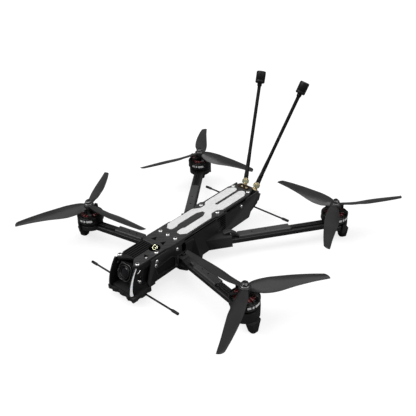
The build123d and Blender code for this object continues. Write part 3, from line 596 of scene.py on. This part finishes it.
# Motors
ring_low, ring_top, ring_radius, ring_wall = 29.6, 38.6, 17.35, 2.0
mark_low, mark_top, mark_arcs = 33.2, 36.2, ((0, 14), (19, 8), (32, 26))
spoke_count, magnet_count, tooth_count, winding_turns = 5, 14, 12, 7
first_spoke = 31  # degrees past a propeller's first blade


def make_spoke(shape, place, angle, swept):
    """Bent strip from the magnet ring over to the hub, leaning as it nears it."""
    rows = [(16.35, 38.4, 2.3, 1.0, 0), (16.3, 41.3, 2.1, 1.0, 0.5), (15.95, 42.9, 2.05, 0.98, 1.2),
            (14.9, 43.75, 2.0, 0.95, 3), (12.4, 44.05, 1.75, 0.9, 7), (9.2, 44.05, 1.6, 0.9, 12),
            (5.6, 44.05, 2.2, 0.9, 17)]
    rings = []
    rows = smooth_run(rows, 26)
    for k, (radius, height, half, thick, lag) in enumerate(rows):
        ahead, behind = rows[min(k + 1, len(rows) - 1)], rows[max(k - 1, 0)]
        along = Vector((ahead[0] - behind[0], 0, ahead[1] - behind[1])).normalized()
        normal = Vector((-along.z, 0, along.x))
        if normal.z < 0 or (abs(normal.z) < 0.3 and normal.x < 0):
            normal = -normal
        turned = Matrix.Rotation(angle + radians(lag) * swept, 4, "Z")
        centre, side = Vector((radius, 0, height)), Vector((0, 1, 0))
        outline = [(-1, -0.7), (-0.86, -1), (0.86, -1), (1, -0.7), (1, 0.7), (0.86, 1), (-0.86, 1),
                   (-1, 0.7)]
        rings.append([place @ (turned @ (centre + side * half * u + normal * thick * v))
                      for u, v in outline])
    shape.loft(rings)


def make_bell(corner):
    """Magnet ring with bent spokes, hub, shaft, magnets and printed bars."""
    body, place = "rotor_" + corner, spot(motor_centre(corner) / MM)
    bell = Shape()
    inner = ring_radius - ring_wall
    bell.turn([(inner, ring_low), (ring_radius - 0.4, ring_low), (ring_radius, ring_low + 0.4),
               (ring_radius, ring_low + 1.5), (ring_radius - 0.2, ring_low + 1.7),
               (ring_radius - 0.2, ring_top - 1.9), (ring_radius, ring_top - 1.7),
               (ring_radius, ring_top - 0.35), (ring_radius - 0.35, ring_top),
               (inner + 0.3, ring_top), (inner, ring_top - 0.3), (inner, ring_low)], place, 96)
    for k in range(spoke_count):
        heading = first_blade[corner] + first_spoke + 360 / spoke_count * k
        make_spoke(bell, place, radians(heading), spin[corner])
    bell.turn([(0, 25.6), (1.95, 25.6), (1.95, 42.9), (5.6, 42.9), (6.4, 43.3), (6.4, 44.6),
               (6.0, 45), (2.5, 45), (2.5, 57.4), (2.3, 57.5), (2.5, 57.65), (2.5, 57.8),
               (2.1, 58.2), (0, 58.2)], place, 48)
    make_piece("bell_visual_" + corner, bell, materials["motor_black"], body,
               ["bell_" + corner])
    magnets = Shape()
    for turned in spaced(place, magnet_count):
        rings = []
        for height in (ring_low + 0.5, ring_low + 0.7, ring_top - 0.9, ring_top - 0.7):
            edge = 0.16 if height in (ring_low + 0.5, ring_top - 0.7) else 0
            rings.append([turned @ Vector((r * cos(t), r * sin(t), height)) for r, t in (
                (14.2 + edge, -0.175 + edge / 15), (14.2 + edge, 0.175 - edge / 15),
                (inner, 0.175 - edge / 15), (inner, -0.175 + edge / 15))])
        magnets.loft(rings)
    make_piece("magnets_" + corner, magnets, magnet_nickel, body)
    marks = Shape()
    for start in (-95, 85):
        for lead, length in mark_arcs:
            begin = radians(first_blade[corner] + start + lead)
            arc = [begin + radians(length) * j / 9 for j in range(10)]
            rings = []
            for angle in arc:
                rings.append([place @ Vector((r * cos(angle), r * sin(angle), z)) for r, z in (
                    (ring_radius - 0.3, mark_low), (ring_radius - 0.14, mark_low),
                    (ring_radius - 0.14, mark_top), (ring_radius - 0.3, mark_top))])
            marks.loft(rings)
    make_piece("bell_marks_" + corner, marks, mark_grey, body)


def make_stator(corner):
    """Twelve laminated teeth with lacquered wire wound on each."""
    place = spot(motor_centre(corner) / MM)
    iron = Shape()
    iron.turn([(4.6, 30.6), (7.2, 30.6), (7.2, 39.8), (4.6, 39.8), (4.6, 30.6)], place, 48)
    for turned in spaced(place, tooth_count):
        outline = [(6.8, -0.75), (12.3, -0.75), (13.0, -2.9), (13.6, -3.05), (13.75, 0),
                   (13.6, 3.05), (13.0, 2.9), (12.3, 0.75), (6.8, 0.75)]
        iron.loft([[turned @ Vector((x, y, z)) for x, y in outline] for z in (31.2, 39.2)])
    make_piece("stator_iron_" + corner, iron, lamination, "airframe", ["stators"],
               bevel=0.12)
    wire = Shape()
    for turned in spaced(place, tooth_count):
        for winding in range(winding_turns):
            radius = 7.9 + 0.68 * winding
            half = 0.209 * radius
            low, high = 30.45, 39.95
            loop = [(half, low + 0.9), (half, high - 0.9), (half * 0.7, high - 0.2),
                    (0, high + 0.12), (-half * 0.7, high - 0.2), (-half, high - 0.9),
                    (-half, low + 0.9), (-half * 0.7, low + 0.2), (0, low - 0.12),
                    (half * 0.7, low + 0.2)]
            path = [turned @ Vector((radius, y, z)) for y, z in loop]
            out = turned.to_3x3() @ Vector((1, 0, 0))
            wire.tube(path, 0.36, out, 6, closed=True)
        inner = [(-1.5, 31), (1.5, 31), (1.5, 39.4), (-1.5, 39.4)]
        wire.loft([[turned @ Vector((x, y * spread, z)) for y, z in inner]
                   for x, spread in ((7.6, 1.0), (12.1, 1.6))])
    make_piece("windings_" + corner, wire, materials["winding"], "airframe", sharp=60)


# Motor wires
def make_wires(corner):
    """Braided sleeve out of the body and under the arm's cover, then three wires to the motor."""
    root, along = arm_direction(corner)
    root, side = root / MM, Vector((-along.y, along.x, 0))
    length = (motor_centre(corner) / MM - root).length
    if corner.startswith("front"):
        rows = [(9, 28.4), (14, 28.6), (18, 27.6), (22, 26.5), (40, 26.4), (58, 26.4), (64, 26.5)]
    else:
        rows = [(12, 33.2), (17, 34.2), (21, 33.4), (26, 30.2), (31, 26.9), (40, 26.4), (96, 26.4),
                (102, 26.5)]
    run = smooth_run(rows, 44)
    path = [root + along * t + UP * z for t, z in run]
    bend, spread, swelling = 24 if corner.startswith("rear") else 0, 7, 1.5
    sleeve = Shape()
    sleeve.tube(path, [(3.5, 1.35 + swelling * max(0, 1 - ((t - bend) / spread) ** 2))
                       for t, _ in run], steps=20)
    make_piece("wire_sleeve_" + corner, sleeve, materials["braid"], "airframe",
               ["motor_wires"])
    wires = Shape()
    stator_reach = 12.6
    start, end = rows[-1][0] - 3, length - stator_reach
    for offset in (-1, 0, 1):
        rows = [(start, offset * 2.0, 26.4), (start + 5, offset * 2.1, 26.5),
                ((start + end) / 2, offset * 2.5, 26.3), (end - 5, offset * 2.6, 26.5),
                (end - 1, offset * 2.4, 27.8), (end + 2, offset * 2.1, 28.9)]
        path = [root + along * t + side * s + UP * z for t, s, z in smooth_run(rows, 30)]
        wires.tube(path, 1.05, steps=12)
    make_piece("motor_leads_" + corner, wires, materials["antenna_black"], "airframe")


# Battery pad
def top_outline(node):
    """The upper rim of a flat CAD node, in order, in millimetres."""
    whole = bmesh.new()
    whole.from_mesh(nodes[node].data)
    bmesh.ops.remove_doubles(whole, verts=whole.verts, dist=0.002 * MM)
    level = max(vert.co.z for vert in whole.verts) - 0.01 * MM
    links = {}
    for edge in whole.edges:
        a, b = edge.verts
        flat = [face for face in edge.link_faces if abs(face.normal.z) > 0.9]
        if a.co.z > level and b.co.z > level and len(flat) == 1:
            links.setdefault(a.index, []).append(b)
            links.setdefault(b.index, []).append(a)
    whole.verts.ensure_lookup_table()
    here = whole.verts[min(links)]
    outline, previous = [], None
    while here.index in links and (not outline or here.index != min(links)):
        outline.append(here.co / MM)
        ahead = [vert for vert in links[here.index] if vert is not previous]
        previous, here = here, ahead[0]
    whole.free()
    return outline


def make_pad():
    """Anti-slip pad of foam rubber, its edge rolled over."""
    outline = top_outline("battery_pad")
    low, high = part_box("battery_pad")
    low, high = low.z / MM, high.z / MM
    area = sum(p.x * q.y - q.x * p.y for p, q in zip(outline, outline[1:] + outline[:1]))
    if area < 0:
        outline.reverse()
    inward = []
    for k in range(len(outline)):
        along = (outline[(k + 1) % len(outline)] - outline[k - 1]).normalized()
        inward.append(Vector((-along.y, along.x, 0)))
    pad = Shape()
    rows = ((0.25, low), (0.05, low + 0.15), (0, (low + high) / 2 - 0.05), (0.08, high - 0.2),
            (0.28, high - 0.06), (0.6, high))
    pad.loft([[Vector((p.x, p.y, z)) + n * inset for p, n in zip(outline, inward)]
              for inset, z in rows])
    piece = make_piece("battery_pad_rubber", pad, materials["pad_rubber"], "airframe",
                       ["battery_pad"], sharp=60)


# Screws
def loose_parts(node):
    """The points of each solid in a CAD node, in millimetres."""
    whole = bmesh.new()
    whole.from_mesh(nodes[node].data)
    whole.transform(nodes[node].matrix_world)
    bmesh.ops.remove_doubles(whole, verts=whole.verts, dist=0.002 * MM)
    seen, parts = set(), []
    for vert in whole.verts:
        if vert in seen:
            continue
        seen.add(vert)
        found = [vert]
        for each in found:
            for edge in each.link_edges:
                other = edge.other_vert(each)
                if other not in seen:
                    seen.add(other)
                    found.append(other)
        parts.append([each.co / MM for each in found])
    whole.free()
    return parts


def span(points):
    """Lowest and highest corner of some points."""
    return [Vector([pick(p[i] for p in points) for i in range(3)]) for pick in (min, max)]


def make_screws(name, node, body, skin, chosen=lambda centre: True, replaces=()):
    """Button-head screws with hexagonal recesses, each laid over its CAD screw."""
    screws, recesses = Shape(), Shape()
    for points in loose_parts(node):
        low, high = span(points)
        size, centre = high - low, (low + high) / 2
        if not chosen(centre):
            continue
        # The screw is round across axis i
        i = min(range(3), key=lambda k: abs(size[(k + 1) % 3] - size[(k + 2) % 3]))
        head = size[(i + 1) % 3] / 2
        flat = [((p - centre) - Vector([(p - centre)[i] if k == i else 0 for k in range(3)])).length
                for p in points]
        heights = [p[i] for p, r in zip(points, flat) if r > head * 0.93]
        outward = 1 if sum(heights) / len(heights) > centre[i] else -1
        shank = max(head * 0.4, min(
            r for p, r in zip(points, flat) if (p[i] - centre[i]) * outward < -size[i] * 0.4))
        tall = max(heights) - min(heights)
        axis = Vector([outward if k == i else 0 for k in range(3)])
        base = Vector(centre)
        base[i] = min(heights) if outward > 0 else max(heights)
        deep = size[i] - tall
        key = head * 0.43
        profile = [(key, tall * 0.2), (key * 1.06, tall * 0.97), (head * 0.58, tall),
                   (head * 0.74, tall * 0.93), (head * 0.9, tall * 0.72), (head, tall * 0.3),
                   (head, 0.0), (shank, 0.0), (shank, -deep), (0, -deep)]
        screws.turn(profile, spot(base, axis), 30, hexes=(0, 1))
        # A near-black plug at the floor of each hex socket: painted shade.
        recesses.turn([(0, tall * 0.22), (key * 1.02, tall * 0.22), (key * 1.02, tall * 0.4),
                       (0, tall * 0.34)], spot(base, axis), 30, hexes=(1, 2))
    make_piece(name, screws, skin, body, replaces, sharp=32)
    make_piece(name + "_recesses", recesses, black_and_shade, body, bevel=0.03)


def make_lock_nuts():
    """Nuts on the arms' clamp bolts, whose ends stand between the two plates."""
    bolt_floor, bolt_ceiling = 26, 31
    nuts = Shape()
    for points in loose_parts("frame_screws"):
        low, high = span(points)
        if low.z > bolt_floor and high.z < bolt_ceiling:
            centre = (low + high) / 2
            tall = high.z - low.z
            nuts.turn([(1.55, 0), (2.35, 0), (2.6, 0.15), (2.6, tall * 0.7), (2.3, tall * 0.85),
                       (2.2, tall), (1.7, tall), (1.55, tall - 0.1), (1.55, 0)],
                      spot(Vector((centre.x, centre.y, low.z))), 48, hexes=(2, 3))
    make_piece("clamp_nuts", nuts, screw_black, "airframe", sharp=32)


# Camera lens
def rounded_square(half, corner, height, place, steps=10):
    """Ring of points round a square with round corners."""
    ring = []
    for k, (x, y) in enumerate(((1, 1), (-1, 1), (-1, -1), (1, -1))):
        for j in range(steps + 1):
            angle = pi / 2 * (k + j / steps)
            ring.append(place @ Vector((x * (half - corner) + corner * cos(angle),
                                        y * (half - corner) + corner * sin(angle), height)))
    return ring


def make_lens():
    """Rounded square bezel, stepped lens rings and a domed glass."""
    axis = Vector((0, -cos(camera_tilt), sin(camera_tilt)))
    half_depth = 2.05
    place = spot(middle("lens") / MM, axis) @ Matrix.Translation((0, 0, -half_depth))
    bezel = Shape()
    bezel.loft([rounded_square(half, corner, height, place) for half, corner, height in (
        (10.2, 6.8, 0.0), (10.4, 7.0, 0.25), (10.4, 7.0, 1.3), (10.2, 6.8, 1.75),
        (9.9, 6.5, 1.9), (9.0, 5.9, 1.7))])
    make_piece("lens_bezel", bezel, lens_black, "camera", ["lens"], sharp=50)
    # Lighter trim ring: partly its own tone, partly a painted highlight of the bezel's edge.
    rim = Shape()
    rim.loft([rounded_square(half, corner, height, place) for half, corner, height in (
        (9.95, 6.6, 1.6), (9.95, 6.6, 2.2), (9.75, 6.4, 2.35), (9.35, 6.1, 2.35),
        (9.15, 5.9, 2.2), (9.15, 5.9, 1.6))], closed=True)
    make_piece("lens_trim_and_highlight", rim, lens_trim_and_highlight, "camera", sharp=50)
    barrel = Shape()
    barrel.turn([(7.2, 1.5), (8.2, 1.5), (8.2, 3.2), (8.0, 3.5), (7.7, 3.6), (7.45, 3.5),
                 (7.2, 3.0), (7.2, 1.5)], place, 72)
    barrel.turn([(5.6, 1.5), (6.5, 1.5), (6.5, 2.7), (6.35, 2.9), (6.1, 2.9), (5.6, 2.2),
                 (5.6, 1.5)], place, 72)
    make_piece("lens_barrel", barrel, materials["camera_black"], "camera")
    threads = Shape()
    for level in (1.9, 2.3, 2.7, 3.1):
        threads.turn([(6.9, level - 0.3), (7.25, level - 0.3), (7.25, level), (7.1, level + 0.1),
                      (6.9, level - 0.3)], place, 72)
    make_piece("lens_threads", threads, lens_black, "camera")
    glass = Shape()
    dome = [(5.5 * cos(radians(a)), 1.5 + 1.2 * sin(radians(a))) for a in range(0, 91, 6)]
    glass.turn([(0, 1.3), (5.5, 1.3)] + dome, place, 64)
    make_piece("lens_dome", glass, materials["lens_glass"], "camera", sharp=60)


# Coaxial connectors and antennas
def thread(radius, low, high, depth=0.28, pitch=0.71):
    """Profile rows of a thread drawn as closed ridges."""
    rows, z = [], low
    while z + pitch <= high:
        rows += [(radius - depth, z), (radius, z + pitch * 0.4), (radius, z + pitch * 0.6)]
        z += pitch
    return rows + [(radius - depth, high)]


def stem_frame(side):
    """Frame at the base of a rear antenna's connector, its Z along the antenna."""
    low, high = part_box("antenna_head_" + side)
    sign = 1 if side == "left" else -1
    lean = Vector((antenna_lean.x * sign, antenna_lean.y, antenna_lean.z)).normalized()
    return spot((low + high) / 2 / MM - lean * antenna_length, lean)


def make_rear_antennas():
    """Coaxial connectors, stems and capped heads of the rear antennas."""
    connectors, ridges = Shape(), thread(3.15, 1.0, 4.0)
    for side in ("left", "right"):
        place = stem_frame(side)
        foot = [(0, 0), (4.2, 0), (4.4, 0.2), (4.4, 0.8), (4.2, 1.0)] + ridges
        sleeve_nut = [(3.6, 4.0), (4.0, 4.3), (4.0, 8.7), (3.6, 9.0), (3.25, 9.1), (3.4, 9.4),
                      (3.4, 9.8), (3.15, 9.95), (3.15, 10.15), (3.4, 10.3), (3.4, 11.0),
                      (3.2, 11.2), (0, 11.2)]
        connectors.turn(foot + sleeve_nut, place, 60, hexes=(len(foot) + 1, len(foot) + 2))
        stem = Shape()
        stem.turn([(0, 11.2), (2.9, 11.2), (3.1, 11.5), (3.1, 17.5), (2.85, 18.0), (2.95, 18.5),
                   (2.85, 24), (2.6, 24.6), (2.7, 30), (2.6, 42), (2.4, 44.5), (2.32, 60),
                   (2.32, 134), (2.4, 137.5), (3.0, 138.4), (3.2, 138.8), (3.2, 142.1), (0, 142.1)],
                  place, 28)
        make_piece("antenna_stem_visual_" + side, stem, materials["antenna_black"], "airframe",
                   ["antenna_stem_" + side], sharp=50)
        cap = Shape()
        cap.turn([(0, 142), (5.3, 142), (6.0, 142.3), (6.35, 143.0), (6.35, 145.4), (6.2, 145.6),
                  (6.2, 146.0), (6.4, 146.2), (6.4, 156.6), (6.1, 157.5), (5.5, 157.95), (0, 158)],
                 place, 56)
        make_piece("antenna_cap_" + side, cap, materials["antenna_black"], "airframe",
                   ["antenna_head_" + side], sharp=50)
    make_piece("coaxial_connectors", connectors, materials["gold"], "airframe",
               ["sma_connectors"], sharp=25)


def make_front_socket():
    """Thin gold coaxial socket, its dark bore round a pin, in a black nut on a black block."""
    tilt, radius, block_depth, block_low, block_high = pi / 4, 3.175, 9, 44.6, 48.8
    axis = Vector((0, -sin(tilt), cos(tilt)))
    low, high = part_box("front_socket")
    low, high = low / MM, high / MM
    barrel = radius * sin(tilt)
    face = Vector(((low.x + high.x) / 2, low.y + barrel, high.z - barrel))
    place = spot(face - axis * 2, axis)
    shell = Shape()
    shell.turn([(2.45, -2.8), (2.9, -2.8), (2.9, -0.4)] + thread(3.17, -0.4, 1.7, 0.24)
               + [(2.95, 2.0), (2.6, 2.0), (2.45, 1.85), (2.45, -2.8)], place, 48)
    shell.turn([(0, -3), (0.6, -3), (0.6, 0.3), (0.45, 0.6), (0, 0.7)], place, 16)
    make_piece("video_socket_shell", shell, materials["gold"], "airframe", ["front_socket"],
               sharp=25)
    inside = Shape()
    inside.turn([(2.5, -3), (4.1, -3), (4.4, -2.7), (4.4, -1.5), (4.1, -1.2), (3.8, -1.2),
                 (3.5, -0.8), (2.95, -0.8), (2.5, -1.2), (2.5, -3)], place, 60, hexes=(5, 6))
    inside.turn([(0.65, -3.4), (2.44, -3.4), (2.44, -1.3), (0.65, -1.3), (0.65, -3.4)], place, 32)
    inside.turn([(0, -10), (2.2, -10), (2.2, -3), (0, -3)], place, 32)
    front = high.y - block_depth
    block = [(low.x, front), (high.x, front), (high.x, high.y), (low.x, high.y)]
    inside.loft([[Vector((x, y, z)) for x, y in block] for z in (block_low, block_high)])
    make_piece("video_socket_core", inside, black_and_shade, "airframe", sharp=32)


def make_cross_antenna(node):
    """Level rod antenna with a shrink sleeve at each tip."""
    low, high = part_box(node)
    low, high = low / MM, high / MM
    centre, half = (low + high) / 2, (high.x - low.x) / 2
    side = [(0, half), (1.4, half - 0.15), (1.75, half - 0.7), (1.8, half - 9), (1.5, half - 10),
            (1.2, half - 10.8), (1.12, half - 12)]
    rod = Shape()
    rod.turn([(r, -z) for r, z in side] + [(r, z) for r, z in reversed(side)],
             spot(centre, (1, 0, 0)), 24)
    make_piece(node + "_rod", rod, materials["antenna_black"], "airframe", [node],
               sharp=50)


def make_nose_hardware():
    """Rivet in the top plate; a bright steel bar in the camera cage's window, a painted highlight.
    """
    rivet, rivet_place = Shape(), Vector((12.8, -134.8, 0))
    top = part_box("top_plate")[1].z / MM
    rivet.turn([(0, top - 0.5), (1.2, top - 0.5), (1.2, top + 0.15), (1.0, top + 0.4),
                (0.6, top + 0.5), (0, top + 0.52)], spot(rivet_place), 24)
    make_piece("plate_rivet", rivet, materials["screw_steel"], "airframe", sharp=50)
    # Painted highlight: a bright steel bar where a highlight shows in the cage's window.
    bright_bar = Shape()
    rows = [(17.6, -153.8, 42.0), (17.9, -153.2, 42.3), (17.9, -150, 44.0), (17.6, -149.6, 44.3)]
    bright_bar.tube([Vector(row) for row in smooth_run(rows, 16)], 0.5)
    make_piece("cage_highlight_bar", bright_bar, materials["screw_steel"], "airframe", sharp=50)


def make_side_painted_shade():
    """Matt black sheets: painted shade in the side louvres, panels and openings, and a painted
    shadow under the top plate.
    """
    # Painted shade on the recessed panel.
    panel = [(-127.5, 34), (-124.5, 23.5), (-98, 20.5), (-96, 24), (-96, 33), (-101, 36)]
    # Painted shadow along the gap between the side cover's top edge and the top plate.
    gap_shadow = [(-79, 46.6), (-22, 46.9), (-20, 48.75), (-77, 48.75)]
    # Painted shade in the shell where the arm goes in.
    opening = [(-83.6, 43.2), (-81.4, 45.4), (-78.2, 44.6), (-76.4, 40.5), (-77.0, 34),
               (-80.5, 32.4), (-83.2, 35)]
    # Black fillings of the louvre slots: painted shade in them.
    louvre_count, louvre_pitch, louvre_half, louvre_radius = 8, 2.9, 7.4, 0.82
    louvre_middle, lowest_louvre = -9.6, 25.7
    half_turns = [(end, radians(k * 30 - 90 * end)) for end in (1, -1) for k in range(7)]
    louvres = [[(louvre_middle + louvre_half * end + louvre_radius * cos(angle),
                 lowest_louvre + louvre_pitch * row + louvre_radius * sin(angle))
                for end, angle in half_turns] for row in range(louvre_count)]
    in_panel, in_wall, in_louvre = (18.3, 18.55), (19.3, 19.5), (17.9, 19.46)
    for side, sign in (("left", 1), ("right", -1)):
        for name, skin, rows in (
                ("panel_lining_", panel_shade, [(panel, in_panel)]),
                ("side_painted_shade_", black_and_shade, [(gap_shadow, in_wall), (opening, in_wall)]
                 + [(louvre, in_louvre) for louvre in louvres])):
            lining = Shape()
            for outline, faces in rows:
                lining.loft([[Vector((sign * x, y, z)) for y, z in outline] for x in faces])
            make_piece(name + side, lining, skin, "airframe", sharp=30)


def make_power_pins():
    """Split spring contacts in the power plug."""
    low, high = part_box("power_pins")
    low, high = low / MM, high / MM
    pins, radius = Shape(), 2
    for x in (low.x + radius, high.x - radius):
        place = spot(Vector((x, (low.y + high.y) / 2, 0)))
        pins.turn([(0, low.z), (radius, low.z), (radius, high.z - 8.0), (1.75, high.z - 7.7),
                   (1.75, high.z - 0.6), (1.4, high.z - 0.1), (1.0, high.z), (0.8, high.z - 0.3),
                   (0.8, high.z - 3), (0, high.z - 3)], place, 40)
    make_piece("power_contacts", pins, materials["gold"], "airframe", ["power_pins"])


for corner in corners:
    make_propeller(corner)
    make_nut(corner)
    make_bell(corner)
    make_stator(corner)
    make_wires(corner)
make_screws("plate_screws", "frame_screws", "airframe", materials["screw_steel"],
            lambda centre: not 27 < centre.z < 30 or abs(centre.x) > 30, ["frame_screws"])
make_lock_nuts()
make_screws("motor_bolts", "motor_screws", "airframe", screw_black,
            replaces=["motor_screws"])
make_screws("camera_lock_screws", "camera_screws", "camera", materials["screw_steel"],
            lambda centre: centre.z < camera_pivot_level, ["camera_screws"])
make_screws("camera_pivot_screws", "camera_screws", "camera", screw_black,
            lambda centre: centre.z > camera_pivot_level)
make_lens()
make_rear_antennas()
make_front_socket()
make_cross_antenna("front_antenna")
make_cross_antenna("rear_antenna")
make_power_pins()
make_nose_hardware()
make_side_painted_shade()
make_pad()


# Floor and light
def make_floor():
    mesh = bpy.data.meshes.new("floor")
    half = 30
    mesh.from_pydata([(-half, -half, 0), (half, -half, 0), (half, half, 0), (-half, half, 0)], [],
                     [(0, 1, 2, 3)])
    floor = bpy.data.objects.new("floor", mesh)
    bpy.context.scene.collection.objects.link(floor)
    s = Surface("pale_floor", Roughness=0.9, Specular_IOR_Level=0.1, Emission_Color=(1, 1, 1, 1))
    seen = s.node("ShaderNodeLightPath").outputs["Is Camera Ray"]
    speckled = s.mix(s.noise(3, 2), grey(0.26), grey(0.28))
    s.feed("Base Color", s.mix(seen, grey(0.15), speckled))
    s.feed("Emission Strength", s.math("MULTIPLY", seen, 0.78))
    mesh.materials.append(s.material)


def make_sun(name, towards, strength, spread):
    """A wide soft lamp; towards is the direction that its light comes from."""
    data = bpy.data.lights.new(name, "SUN")
    data.energy, data.angle = strength, radians(spread)
    lamp = bpy.data.objects.new(name, data)
    lamp.rotation_mode = "QUATERNION"
    lamp.rotation_quaternion = Vector(towards).to_track_quat("Z", "Y")
    bpy.context.scene.collection.objects.link(lamp)


def make_world(room=0.2):
    """A dim even room for the light, and a white one behind the object."""
    world = bpy.data.worlds.new("studio")
    bpy.context.scene.world = world
    world.use_nodes = True
    tree = world.node_tree
    lit = tree.nodes["Background"]
    lit.inputs["Strength"].default_value = room
    seen = tree.nodes.new("ShaderNodeBackground")
    for node in (lit, seen):
        node.inputs["Color"].default_value = (1, 1, 1, 1)
    path = tree.nodes.new("ShaderNodeLightPath")
    both = tree.nodes.new("ShaderNodeMixShader")
    tree.links.new(path.outputs["Is Camera Ray"], both.inputs[0])
    tree.links.new(lit.outputs[0], both.inputs[1])
    tree.links.new(seen.outputs[0], both.inputs[2])
    tree.links.new(both.outputs[0], tree.nodes["World Output"].inputs["Surface"])


make_floor()
make_world()
make_sun("key", (-0.5, -0.6, 1.0), 1.9, 40)
make_sun("top", (0.3, 0.2, 1.0), 1.3, 60)
make_sun("side", (1.0, 0.1, 0.7), 0.6, 30)
bpy.context.scene.view_settings.view_transform = "Standard"
